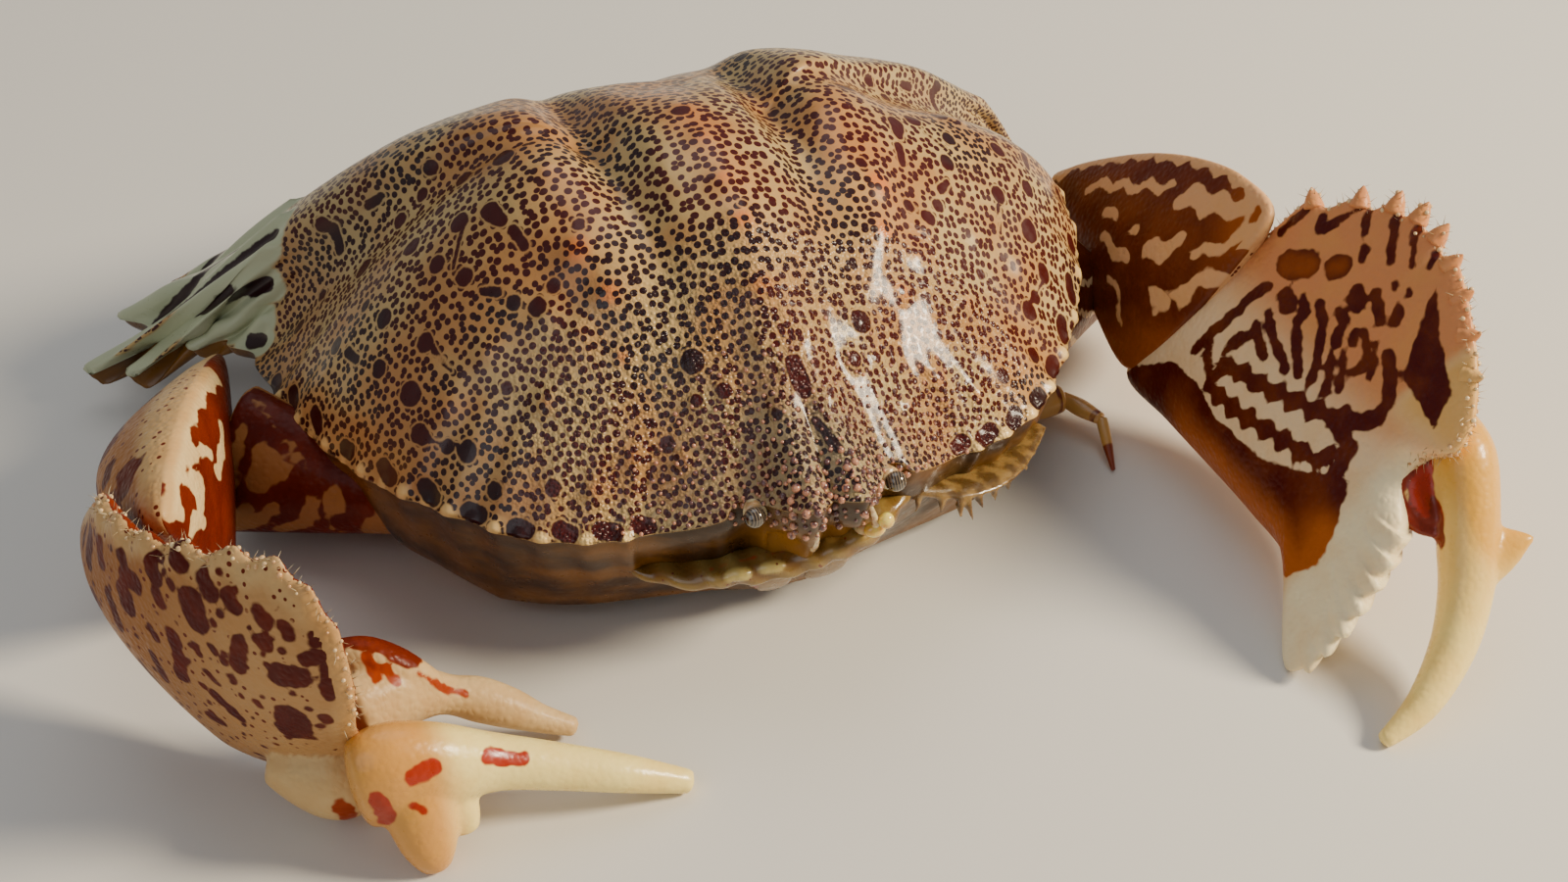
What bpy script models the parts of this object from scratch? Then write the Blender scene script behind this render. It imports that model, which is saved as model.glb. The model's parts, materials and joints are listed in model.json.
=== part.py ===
"""Box crab at rest: a domed shell with winged hind corners, two crested claws held
forward and eight walking legs folded under the wings.

Everything is worked in millimetres, the front of the animal towards -Y and its left
towards +X, and written in metres. Each shape function returns one closed shell.
"""

import math

import bmesh
import bpy
import numpy as np

MM = 0.001
GAP = 0.3  # clearance between neighbouring pieces

# ---- carapace ---------------------------------------------------------------------
# Margin of the left half from the rostrum round to the tail: x, y, z, flare.
FRONT = (
    (0.0, -36.8, 22.2, 0.0),
    (2.4, -38.6, 22.8, 0.0),
    (4.6, -36.4, 22.0, 0.0),
    (7.0, -33.4, 21.2, 0.0),
    (9.8, -33.4, 20.0, 0.0),
    (12.8, -32.0, 18.7, 0.0),
)
FLANK = (
    (16.6, -29.8, 17.4, 0.0),
    (20.0, -28.9, 17.0, 0.0),
    (23.9, -27.3, 16.8, 0.0),
    (27.6, -24.9, 16.6, 0.0),
    (31.1, -20.9, 16.4, 0.0),
    (34.5, -16.4, 16.0, 0.0),
    (37.6, -11.6, 15.4, 0.0),
    (40.1, -5.7, 14.7, 0.0),
    (42.0, 0.6, 13.8, 0.1),
    (43.2, 6.4, 13.0, 0.3),
    (43.8, 11.4, 12.4, 0.6),
)
WING = (
    (44.6, 16.0, 11.8, 0.9),
    (44.3, 19.4, 11.4, 1.0),
    (46.4, 22.6, 10.6, 1.0),
    (46.4, 24.4, 10.2, 1.0),
    (50.0, 25.6, 9.2, 1.0),
    (50.0, 27.8, 9.2, 1.0),
    (57.0, 27.4, 6.0, 1.0),
    (53.8, 30.6, 6.8, 1.0),
    (61.2, 31.6, 4.8, 1.0),
    (53.6, 34.0, 6.6, 1.0),
    (55.8, 38.4, 6.2, 1.0),
    (50.0, 37.6, 7.6, 0.9),
    (49.4, 40.6, 7.8, 0.8),
)
REAR = (
    (44.0, 38.6, 9.8, 0.6),
    (36.0, 38.2, 10.8, 0.3),
    (27.0, 38.6, 11.4, 0.1),
    (18.0, 39.6, 11.6, 0.0),
    (9.0, 40.2, 11.6, 0.0),
    (0.0, 40.2, 11.6, 0.0),
)
BEAD = 0.7  # how far the flank's bead-like teeth stand out
CENTRE_Y = 2.0
CROWN = 41.5
TOP_RINGS = (0.96, 0.88, 0.77, 0.64, 0.50, 0.33, 0.16)
VAULT_Z = 10.6


def catmull(points, per_span):
    """Smooth curve through points, per_span samples to each span."""
    p = np.asarray(points, float)
    spans = len(p) - 1
    t = np.arange(spans * per_span + 1) / per_span
    i = np.minimum(t.astype(int), spans - 1)
    f = (t - i)[:, None]
    a = p[np.maximum(i - 1, 0)]
    b = p[i]
    c = p[i + 1]
    d = p[np.minimum(i + 2, spans)]
    square = f * f
    cube = square * f
    return 0.5 * (2 * b + (c - a) * f + (2 * a - 5 * b + 4 * c - d) * square
                  + (3 * b - a - 3 * c + d) * cube)


def beaded(stations):
    """Put a small tooth, pushed outwards, between each pair of flank stations."""
    p = np.asarray(stations, float)
    out = [p[0]]
    for a, b in zip(p[:-1], p[1:]):
        run = b - a
        away = np.array([-run[1], run[0]]) * -1.0
        away = away / np.linalg.norm(away)
        mid = (a + b) / 2
        mid[:2] += away * (BEAD + 0.35)
        out.append(mid)
        out.append(b)
    return out


def half_margin(per_span=1):
    rows = list(FRONT) + beaded(FLANK) + list(WING) + list(REAR)
    return catmull(rows, per_span)


def full_margin(per_span=1):
    left = half_margin(per_span)
    right = (left * [-1, 1, 1, 1])[::-1][1:-1]
    return np.concatenate([left, right])


def smoothed(loop, passes):
    out = loop.copy()
    for _ in range(passes):
        out = (out + np.roll(out, 1, 0) + np.roll(out, -1, 0)) / 3
    return out


def bell(x, centre, width):
    return np.exp(-((x - centre) / width) ** 2)


def step(x, low, high):
    t = np.clip((x - low) / (high - low), 0, 1)
    return t * t * (3 - 2 * t)


def turn_of(loop):
    """0 at the front, 0.5 at the side, 1 at the rear."""
    return np.arctan2(np.abs(loop[:, 0]), -(loop[:, 1] - CENTRE_Y)) / math.pi


def relief(x, y):
    """Two furrows beside the middle ridge, and a shallow dip behind each orbit."""
    side = np.abs(x)
    furrow = -2.4 * bell(side, 11.5, 3.8) * bell(y, 8.0, 17.0)
    ridge = -0.6 * bell(side, 0.0, 6.0) * bell(y, 8.0, 18.0)
    cheek = -1.2 * bell(side, 24.0, 8.0) * bell(y, -17.0, 9.0)
    tail = 0.8 * bell(side, 0.0, 7.0) * bell(y, 33.0, 6.0)
    return furrow + ridge + cheek + tail


def dome_height(loop, r):
    """Height of the shell at radius share r along each margin column."""
    turn = turn_of(loop)
    front = 1 - np.clip(turn / 0.5, 0, 1) ** 1.2
    back = np.clip(turn / 0.5 - 1, 0, 1)
    p = (2.5 * front + 2.3 * (1 - front)) * (1 - back) + 2.6 * back
    q = (1.35 * front + 0.80 * (1 - front)) * (1 - back) + 0.85 * back
    q = q + 0.5 * loop[:, 3]
    share = np.maximum(1 - r ** p, 0) ** q
    return loop[:, 2] + (CROWN - loop[:, 2]) * share


def dome_ring(loop, base, r):
    """One ring of the upper surface; teeth fade out away from the margin."""
    keep = step(r, 0.72, 1.0)
    x = base[:, 0] * r + (loop[:, 0] - base[:, 0]) * keep
    y = CENTRE_Y + (base[:, 1] - CENTRE_Y) * r + (loop[:, 1] - base[:, 1]) * keep
    mix = base + (loop - base) * keep
    mix[:, 3] = base[:, 3]
    z = dome_height(mix, r) + relief(x, y) * min(1.0, (1 - r) * 5)
    return np.stack([x, y, z], 1)


def under_rings(loop, base):
    """Underside: a thin edge, the cheek wall hanging from it and the vault behind."""
    turn = turn_of(base)
    keys = (0.0, 0.10, 0.20, 0.30, 0.36, 0.40, 0.46, 0.52, 0.62, 0.72, 0.86, 1.0)
    edge = np.interp(turn, keys, (2.2, 2.2, 2.0, 1.8, 1.8, 1.8, 1.8, 1.6, 1.2, 1.1, 1.1, 1.4))
    low_r = np.interp(turn, keys, (0.74, 0.78, 0.83, 0.91, 0.93, 0.945, 0.95, 0.92, 0.90, 0.88, 0.88, 0.90))
    low_z = np.interp(turn, keys, (3.0, 3.0, 3.0, 3.2, 4.8, 5.2, 7.6, 10.2, 8.8, 7.6, 7.6, 8.6))
    hollow_r = np.interp(turn, keys, (0.48, 0.50, 0.55, 0.72, 0.80, 0.82, 0.84, 0.80, 0.74, 0.72, 0.72, 0.76))
    hollow_z = np.interp(turn, keys, (10.6, 10.6, 11.4, 12.6, 12.8, 12.8, 12.8, 12.4, 11.6, 11.0, 11.0, 11.0))
    rings = []
    for share, drop in ((0.30, edge), (0.62, 0.45 * (loop[:, 2] - low_z))):
        ring = dome_ring(loop, base, 0.985)
        r = 0.985 + (low_r - 0.985) * (share - 0.30)
        ring[:, 0] = ring[:, 0] * r / 0.985
        ring[:, 1] = CENTRE_Y + (ring[:, 1] - CENTRE_Y) * r / 0.985
        ring[:, 2] = loop[:, 2] - np.maximum(drop, edge)
        rings.append(ring)
    steps = ((low_r + 0.015, low_z + 1.4), (low_r - 0.01, low_z), (low_r - 0.07, low_z + 0.5),
             (hollow_r, hollow_z))
    for r, z in steps:
        x = base[:, 0] * r
        y = CENTRE_Y + (base[:, 1] - CENTRE_Y) * r
        rings.append(np.stack([x, y, z], 1))
    return rings


def leaned(points):
    """The shell's lean: its left flank stands higher, its left wing is drawn in, its back is lower."""
    x, y, z = points.T
    back = (1.7 + 2.8 * bell(x, 1.0, 6.0)) * step(x, -27.0, -14.0) * bell(y, 20.0, 13.0)
    flank = 6.5 * step(x, 20.0, 41.0) * bell(y, 5.0, 17.0)
    wing = 0.45 * np.maximum(x - 44.0, 0.0)
    out = 0.6 * step(x, 28.0, 42.0) * bell(y, -3.0, 17.0)
    rise = flank * step(z, 4.0, 14.0) - back * step(z, 14.0, 26.0)
    return np.stack([x - wing + out, y, z + rise], 1)


def carapace_rings(per_span=1, top_rings=TOP_RINGS):
    loop = full_margin(per_span)
    base = smoothed(loop, 4 * per_span * per_span)
    base[:, 3] = smoothed(loop, 2 * per_span)[:, 3]
    rings = [np.array([[0.0, CENTRE_Y, CROWN + relief(np.zeros(1), np.full(1, CENTRE_Y))[0]]])]
    for r in sorted(top_rings):
        rings.append(dome_ring(loop, base, r))
    rings.append(loop[:, :3].copy())
    rings += under_rings(loop, base)
    rings.append(np.array([[0.0, CENTRE_Y, VAULT_Z]]))
    return [leaned(ring) for ring in rings]


# ---- general shapes ---------------------------------------------------------------
def unit(v):
    v = np.asarray(v, float)
    return v / np.linalg.norm(v)


def skin(rings, closed=True):
    """Join rings of equal count, with single-point ends, into verts and faces."""
    verts = np.concatenate(rings)
    faces = []
    start = 0
    for ring, following in zip(rings[:-1], rings[1:]):
        n = len(ring)
        m = len(following)
        nxt = start + n
        count = max(n, m)
        for k in range(count):
            j = (k + 1) % count
            if n == 1:
                faces.append((start, nxt + k, nxt + j))
            elif m == 1:
                faces.append((start + j, start + k, nxt))
            else:
                faces.append((start + k, nxt + k, nxt + j, start + j))
        start = nxt
    return verts, faces


def tube(stations, sides=12, power=2.0):
    """Loft along stations of (x, y, z, half height, half width), rounded at the ends.

    An optional sixth to eighth value sets the height direction.
    """
    s = [tuple(v) for v in stations]
    centre = np.array([v[:3] for v in s], float)
    along = np.gradient(centre, axis=0)
    rings = []
    angle = np.arange(sides) * 2 * math.pi / sides
    shape_c = np.sign(np.cos(angle)) * np.abs(np.cos(angle)) ** (2 / power)
    shape_s = np.sign(np.sin(angle)) * np.abs(np.sin(angle)) ** (2 / power)
    for k, v in enumerate(s):
        t = unit(along[k])
        up = np.array(v[5:8], float) if len(v) > 5 else np.array([0.0, 0.0, 1.0])
        up = unit(up - (up @ t) * t)
        side = np.cross(t, up)
        rings.append(centre[k] + np.outer(shape_c * v[4], side) + np.outer(shape_s * v[3], up))
    first = centre[0] - unit(along[0]) * min(s[0][3], s[0][4]) * 0.35
    last = centre[-1] + unit(along[-1]) * min(s[-1][3], s[-1][4]) * 0.35
    return [first[None, :]] + rings + [last[None, :]]


class Frame:
    """Local axes of a plate: s along it, t towards its crest, w towards its outside."""

    def __init__(self, origin, along, crestward, mirror=1.0):
        self.o = np.array(origin, float)
        self.p = unit(along)
        c = np.array(crestward, float)
        self.c = unit(c - (c @ self.p) * self.p)
        self.w = np.cross(self.c, self.p) * mirror

    def place(self, s, t, w):
        return self.o + np.outer(s, self.p) + np.outer(t, self.c) + np.outer(w, self.w)


def plate_rings(outline, centre, shares, outer, inner, place):
    """A lens-like closed plate: outer face, edge and inner face as polar rings."""
    centre = np.asarray(centre, float)

    def face(r, height, sign):
        q = centre + (outline - centre) * r
        w = sign * height(q[:, 0], q[:, 1]) * max(0.0, 1 - r ** 3) ** 0.5
        return place(q[:, 0], q[:, 1], w)

    pole_out = face(0.0, outer, 1.0)[:1]
    pole_in = face(0.0, inner, -1.0)[:1]
    rings = [pole_out]
    rings += [face(r, outer, 1.0) for r in shares]
    rings.append(face(1.0, outer, 1.0))
    rings += [face(r, inner, -1.0) for r in reversed(shares)]
    rings.append(pole_in)
    return rings


# ---- claws ------------------------------------------------------------------------
PALM_EDGE = (
    (0.0, 0.0), (1.4, 7.5), (3.4, 15.5), (6.0, 23.5),
    (7.6, 28.0), (10.0, 28.6), (12.6, 31.8), (14.6, 31.4), (16.6, 34.0),
    (18.2, 33.0), (19.9, 34.9), (21.4, 33.4), (23.2, 34.6), (24.6, 32.8), (26.4, 33.4),
    (29.8, 31.6), (33.4, 29.2), (36.8, 26.4), (39.4, 23.0), (39.8, 19.6),
    (37.2, 16.8), (37.2, 13.6), (40.2, 10.8), (41.8, 7.4), (42.4, 3.4), (43.0, -0.6),
    (42.8, -4.6), (41.0, -7.2), (38.0, -5.8), (34.7, -2.8), (30.8, -0.6),
    (24.0, -0.6), (16.0, -0.6), (8.0, -0.5),
)
PALM_CENTRE = (23.0, 11.0)
# The heavier right palm has its fixed finger and heel added as separate lofts.
RIGHT_PALM_EDGE = (
    (1.2, 14.4), (2.2, 16.6), (4.0, 18.8), (6.0, 21.9), (8.0, 23.8), (10.0, 24.1), (12.4, 26.2), (14.4, 25.8),
    (16.6, 27.9), (18.6, 27.6), (20.8, 29.9), (22.8, 29.3), (25.0, 31.8), (27.0, 31.2), (29.2, 32.9),
    (31.4, 31.7), (33.4, 31.4), (35.2, 29.4), (37.0, 27.8), (38.2, 24.6), (39.2, 21.2), (39.2, 18.0),
    (38.6, 15.0), (37.8, 11.5), (36.4, 7.0), (34.0, 2.4), (30.5, -0.6), (24.0, 0.2), (17.0, 2.6),
    (10.0, 7.6), (4.0, 12.2),
)
FAN_EDGE = (
    (0.0, 0.0), (-8.0, 5.5), (-16.0, 12.0), (-22.0, 18.4),
    (-19.0, 20.6), (-12.0, 22.4), (-4.0, 23.6), (4.0, 23.6), (11.0, 22.4), (17.0, 19.2),
    (14.0, 13.0), (9.0, 6.4), (4.0, 1.4),
)
FAN_CENTRE = (-1.5, 12.5)


def palm_outer(s, t):
    body = 7.6 * bell(t, 8.0, 12.0) * bell(s, 19.0, 21.0)
    return 2.6 + body


def palm_inner(s, t):
    body = 3.0 * bell(t, 8.0, 12.0) * bell(s, 18.0, 18.0)
    return 1.8 + body


def right_palm_outer(s, t):
    return 2.4 + 4.3 * bell(t, 9.6, 12.0) * bell(s, -0.8, 18.0)


def right_palm_inner(s, t):
    return 1.2 + 1.8 * bell(t, 8.0, 12.0) * bell(s, 18.0, 18.0)


def fan_outer(s, t):
    return 3.0 + 7.4 * bell(t, 11.0, 9.0) * bell(s, -2.0, 15.0)


def fan_inner(s, t):
    return 1.6 + 0.4 * bell(t, 12.0, 9.0)


def palm_bender(frame, turn_deg, curl, lean=0.0):
    """Swing the far half of a palm inwards, curl its fixed finger under and lean its crest back."""
    radius = 34.0 / math.radians(turn_deg)

    def place(s, t, w):
        s = np.asarray(s, float)
        t = np.asarray(t, float)
        w = np.asarray(w, float)
        run = np.maximum(s - 8.0, 0)
        phi = run / radius
        centre_s = np.minimum(s, 8.0) + radius * np.sin(phi)
        centre_w = -radius * (1 - np.cos(phi))
        reach = np.maximum(0.7 * (s - 28.0) + 0.7 * (8.0 - t), 0)
        inward = -curl * reach ** 1.5 / 10 - lean * np.maximum(t - 12.0, 0) ** 2 * step(s, 10.0, 28.0)
        return frame.place(centre_s + w * np.sin(phi), t, centre_w + w * np.cos(phi) + inward)

    return place


RIGHT_PALM_CENTRE = (22.0, 14.0)
RIGHT_FAN_SCALE = (0.92, 0.78)
LEFT_PALM = Frame((44.8, -12.2, 6.4), (0.16, -0.985, -0.08), (0.50, -0.007, 0.867))
RIGHT_PALM = Frame((-62.6, -5.4, 5.9), (0.13, -0.972, -0.19), (-0.09, -0.21, 0.974), -1.0)
LEFT_FAN = Frame((44.5, -11.5, 7.0), (0.174, -0.896, 0.41), (0.455, 0.443, 0.771))
RIGHT_FAN = Frame((-53.0, -5.9, 4.2), (-0.312, -0.923, 0.221), (-0.096, 0.26, 0.96), -1.0)

LEFT_DACTYL = (
    (61.6, -45.6, 18.2, 4.2, 3.4), (61.4, -48.8, 17.2, 4.6, 3.6), (60.6, -52.2, 14.8, 3.6, 3.2),
    (59.4, -55.0, 12.0, 3.1, 3.0), (57.9, -57.9, 9.0, 2.8, 2.7), (55.0, -61.2, 5.7, 2.4, 2.3),
    (50.2, -64.4, 2.7, 1.7, 1.7), (45.4, -65.8, 0.8, 0.9, 0.9),
)
RIGHT_DACTYL = (
    (-48.2, -42.8, 8.6, 5.0, 3.4), (-45.6, -43.0, 8.8, 5.6, 3.9), (-41.5, -43.2, 8.4, 4.6, 3.6),
    (-36.2, -43.2, 7.0, 2.8, 2.7), (-30.3, -44.3, 5.2, 2.2, 2.3), (-24.3, -45.8, 3.4, 1.8, 1.9),
    (-18.6, -46.8, 1.1, 1.2, 1.2),
)
RIGHT_KNOB = (
    (-44.2, -43.8, 8.6, 3.4, 3.0, 1.0, 0.0, 0.2), (-43.9, -45.6, 6.0, 3.3, 2.6, 1.0, 0.0, 0.2),
    (-43.6, -46.8, 2.8, 2.7, 2.3, 1.0, 0.0, 0.2), (-43.4, -47.2, 0.5, 1.7, 1.6, 1.0, 0.0, 0.2),
)
RIGHT_LOBE = (
    (-41.0, -43.4, 6.6, 2.4, 2.0, 1.0, 0.0, 0.2), (-40.2, -45.0, 4.0, 2.0, 1.8, 1.0, 0.0, 0.2),
    (-39.8, -45.8, 2.2, 1.3, 1.2, 1.0, 0.0, 0.2),
)
RIGHT_POLLEX = (
    (-47.0, -35.6, 9.4, 5.4, 3.4), (-43.2, -34.0, 9.4, 4.4, 3.2), (-39.2, -33.2, 8.0, 3.2, 2.8),
    (-35.6, -33.4, 6.0, 2.7, 2.5), (-31.3, -34.8, 3.9, 2.0, 2.0), (-26.6, -36.4, 1.3, 1.3, 1.2),
)
RIGHT_HEEL = (
    (-54.6, -35.6, 6.8, 2.6, 2.4), (-52.0, -37.2, 6.0, 3.9, 3.3), (-49.4, -38.8, 5.6, 4.3, 3.5),
    (-47.0, -39.2, 6.4, 3.0, 2.6),
)
LEFT_SPUR = (
    (61.0, -56.4, 12.4, 1.8, 2.2, 0.4, -0.6, 0.6), (63.4, -57.4, 12.8, 1.2, 1.5, 0.4, -0.6, 0.6),
    (65.0, -57.8, 12.9, 0.4, 0.5, 0.4, -0.6, 0.6),
)


def chela_shapes():
    palm_edge = np.array(PALM_EDGE, float)
    right_edge = np.array(RIGHT_PALM_EDGE, float)
    fan_edge = np.array(FAN_EDGE, float)
    shares = (0.45, 0.75, 0.92)
    left_place = palm_bender(LEFT_PALM, 12.0, 0.4)
    right_place = palm_bender(RIGHT_PALM, 48.0, 1.5, 0.011)
    return {
        "palm_left": plate_rings(palm_edge, PALM_CENTRE, shares, palm_outer, palm_inner, left_place),
        "palm_right": plate_rings(right_edge, RIGHT_PALM_CENTRE, shares, right_palm_outer, right_palm_inner,
                                  right_place),
        "carpus_left": plate_rings(fan_edge, FAN_CENTRE, shares, fan_outer, fan_inner, LEFT_FAN.place),
        "carpus_right": plate_rings(fan_edge * RIGHT_FAN_SCALE, FAN_CENTRE, shares, fan_outer, fan_inner,
                                    RIGHT_FAN.place),
        "dactyl_left": tube(LEFT_DACTYL),
        "dactyl_right": tube(RIGHT_DACTYL),
        "dactyl_right+knob": tube(RIGHT_KNOB),
        "dactyl_right+lobe": tube(RIGHT_LOBE),
        "palm_right+pollex": tube(RIGHT_POLLEX),
        "palm_right+heel": tube(RIGHT_HEEL),
        "dactyl_left+spur": tube(LEFT_SPUR),
    }


# Arm stations: x, y, z, half height, half width, then the height direction.
ARMS = {
    "ischium": ((15.4, -12.6, 6.6, 2.4, 2.8), (19.5, -13.2, 7.0, 2.8, 3.2), (25.6, -12.4, 7.6, 2.9, 3.2)),
    "merus_left": ((26.6, -12.0, 7.8, 2.9, 3.2, 0.1, 0.2, 0.9), (32.0, -8.8, 8.2, 3.3, 3.6, 0.1, 0.3, 0.9),
                   (38.0, -3.6, 8.4, 4.2, 4.2, 0.1, 0.5, 0.8), (44.6, 3.2, 8.8, 6.8, 4.4, 0.1, 0.6, 0.8)),
    "merus_right": ((-26.6, -11.6, 7.8, 2.9, 3.2, -0.1, 0.2, 0.9),
                    (-33.0, -7.2, 8.2, 3.4, 3.6, -0.1, 0.3, 0.9),
                    (-40.0, -1.2, 8.0, 5.2, 4.2, 0.1, 0.5, 0.8),
                    (-48.6, 6.2, 8.2, 7.8, 4.6, 0.1, 0.6, 0.8)),
}
# Walking legs of one side: knee, wrist, ankle and tip for each root.
LEG_ROOT_X = 11.5
LEG_SIDES = 6
LEGS = (
    ((-6.6, 4.8), (33.0, -9.6, 3.0), (38.4, -9.8, 2.9), (40.9, -14.4, 2.6), (39.6, -20.2, 0.0)),
    ((0.2, 5.4), (32.6, 4.4, 5.6), (37.2, 7.8, 3.7), (28.0, 8.2, 1.6), (20.6, 5.8, 0.0)),
    ((6.2, 5.6), (36.0, 12.6, 6.0), (41.2, 15.8, 4.1), (31.0, 16.6, 1.6), (22.6, 13.8, 0.0)),
    ((12.0, 5.8), (34.4, 21.0, 5.8), (39.6, 24.6, 4.0), (28.8, 25.2, 1.6), (20.8, 21.4, 0.0)),
)


def between(a, b, share):
    return np.asarray(a, float) * (1 - share) + np.asarray(b, float) * share


def segment(a, b, sections):
    """Loft from a to b with the given (share, half height, half width) sections."""
    rows = [(*between(a, b, k), h, w) for k, h, w in sections]
    return tube(rows, sides=LEG_SIDES)


# On the right side the first leg is tucked in further, behind the cheek.
TUCKED = ((-6.6, 4.8), (27.5, -6.8, 2.8), (31.8, -7.8, 3.0), (27.6, -12.8, 1.8), (21.2, -13.2, 0.0))


# Sections of each leg piece: share of its length, half height, half width.
MERUS_SECTIONS = ((0.0, 1.5, 1.7), (0.40, 2.0, 2.4), (0.78, 2.0, 2.3), (0.97, 1.6, 1.8))
CARPUS_SECTIONS = ((0.0, 1.3, 1.4), (0.5, 1.8, 1.9), (0.92, 1.5, 1.6))
PROPODUS_SECTIONS = ((0.0, 1.2, 1.3), (0.45, 1.4, 1.9), (0.96, 1.0, 1.3))
DACTYL_SECTIONS = ((0.0, 0.8, 1.1), (0.45, 0.75, 1.0), (0.97, 0.4, 0.4))
TIP_RISE = 0.25  # keeps a fingertip's end cap whole above the floor


def leg_shapes(side, sign):
    out = {}
    legs = LEGS if sign > 0 else (TUCKED,) + LEGS[1:]
    flip = np.array([sign, 1.0, 1.0])
    for number, (root, knee, wrist, ankle, tip) in enumerate(legs, start=1):
        stops = [np.array(stop, float) * flip for stop in ((LEG_ROOT_X, *root), knee, wrist, ankle, tip)]
        stops[4][2] += TIP_RISE
        for k, (piece, sections) in enumerate((("merus", MERUS_SECTIONS), ("carpus", CARPUS_SECTIONS),
                                               ("propodus", PROPODUS_SECTIONS), ("dactyl", DACTYL_SECTIONS))):
            out[f"leg{number}_{piece}_{side}"] = segment(stops[k], stops[k + 1], sections)
    return out


def slab(rows, power=3.0, sides=12):
    """Loft along y of (y, z low, z high, half width) sections, mirror-even in x."""
    angle = np.arange(sides) * 2 * math.pi / sides + math.pi / sides
    c = np.sign(np.cos(angle)) * np.abs(np.cos(angle)) ** (2 / power)
    s = np.sign(np.sin(angle)) * np.abs(np.sin(angle)) ** (2 / power)
    rings = []
    for y, low, high, half in rows:
        mid = (low + high) / 2
        rings.append(np.stack([-c * half, 0 * c + y, mid + s * (high - low) / 2], 1))
    first = rings[0].mean(0)
    last = rings[-1].mean(0)
    return [first[None, :]] + rings + [last[None, :]]


STERNUM = (
    (-21.0, 4.6, 9.6, 5.4), (-17.0, 2.4, 10.2, 9.0), (-12.0, 0.6, 10.2, 12.0), (-6.0, -0.3, 10.2, 13.6),
    (4.0, -0.3, 10.2, 14.2), (13.0, -0.3, 10.2, 12.6), (20.0, 1.0, 10.2, 9.4), (26.0, 3.2, 10.2, 6.0),
)
ABDOMEN = (
    (-9.6, -0.2, 1.9, 1.2), (-7.0, -0.2, 2.2, 2.0), (2.0, -0.2, 2.3, 3.4), (12.0, -0.2, 2.4, 4.8),
    (20.0, 0.4, 2.9, 6.6), (26.0, 2.6, 5.2, 8.2), (31.0, 4.8, 7.6, 9.4), (35.0, 6.6, 9.6, 9.6),
)
MAXILLIPED_EDGE = ((0.0, 0.6), (0.0, 4.4), (2.6, 6.6), (7.0, 6.9), (10.4, 4.6), (12.8, 1.6), (12.0, 0.5), (6.0, 0.3))
EYE = ((5.4, -31.0, 19.8, 1.2, 1.2), (6.6, -33.2, 20.6, 1.4, 1.4), (7.3, -34.8, 21.0, 1.7, 1.6),
       (7.7, -35.8, 21.1, 1.3, 1.2))
ANTENNA = ((3.5, -33.0, 14.6, 1.3, 1.2), (3.4, -35.6, 16.2, 1.2, 1.1), (3.2, -37.2, 18.8, 0.7, 0.7),
           (3.1, -37.9, 21.2, 0.4, 0.4))


def mirrored(stations, sign):
    rows = []
    for row in stations:
        row = list(row)
        row[0] *= sign
        if len(row) > 5:
            row[5] *= sign
        rows.append(tuple(row))
    return rows


def maxilliped(side, sign):
    frame = Frame((0.45 * sign, -28.2, 4.2), (0.0, -0.47, 0.88), (sign, 0.0, 0.0), sign)
    edge = np.array(MAXILLIPED_EDGE, float)
    flat = plate_rings(edge, (6.0, 3.2), (0.6,), lambda s, t: 1.3 + 0 * s, lambda s, t: 0.8 + 0 * s,
                       frame.place)
    return {f"maxilliped_{side}": flat}


def body_shapes():
    out = {"sternum": slab(STERNUM, power=4.0), "abdomen": slab(ABDOMEN)}
    for side, sign in (("left", 1.0), ("right", -1.0)):
        out[f"ischium_{side}"] = tube(mirrored(ARMS["ischium"], sign))
        out[f"merus_{side}"] = tube(ARMS[f"merus_{side}"])
        out[f"eye_{side}"] = tube(mirrored(EYE, sign), sides=10)
        out[f"antenna_{side}"] = tube(mirrored(ANTENNA, sign), sides=8)
        out.update(maxilliped(side, sign))
        out.update(leg_shapes(side, sign))
    return out


# ==== Blender objects ==============================================================
class Finish:
    """One Principled material of the part."""

    def __init__(self, name, color, roughness, coat=0.0):
        self.name = name
        self.color = color
        self.roughness = roughness
        self.coat = coat

    def build(self):
        found = bpy.data.materials.get(self.name)
        if found:
            return found
        material = bpy.data.materials.new(self.name)
        material.use_nodes = True
        shader = material.node_tree.nodes["Principled BSDF"]
        shader.inputs["Base Color"].default_value = (*self.color, 1.0)
        shader.inputs["Roughness"].default_value = self.roughness
        shader.inputs["Coat Weight"].default_value = self.coat
        return material


SHELL = Finish("shell", (0.47, 0.31, 0.17), 0.32, 0.4)
CLAW = Finish("claw", (0.52, 0.27, 0.15), 0.34, 0.4)
IVORY = Finish("ivory", (0.80, 0.70, 0.54), 0.30, 0.4)
UNDERSIDE = Finish("underside", (0.45, 0.33, 0.17), 0.42, 0.2)
LIMB = Finish("limb", (0.62, 0.42, 0.20), 0.38, 0.3)
MOUTH = Finish("mouth", (0.50, 0.36, 0.17), 0.36, 0.3)
EYE_GLASS = Finish("eye_glass", (0.10, 0.06, 0.05), 0.08, 1.0)

FINISH_OF = (
    ("carapace", SHELL), ("sternum", UNDERSIDE), ("abdomen", UNDERSIDE), ("ischium", LIMB),
    ("merus", CLAW), ("carpus", CLAW), ("palm", CLAW), ("dactyl", IVORY), ("eye", EYE_GLASS),
    ("antenna", MOUTH), ("maxilliped", MOUTH), ("leg", LIMB),
)
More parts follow.
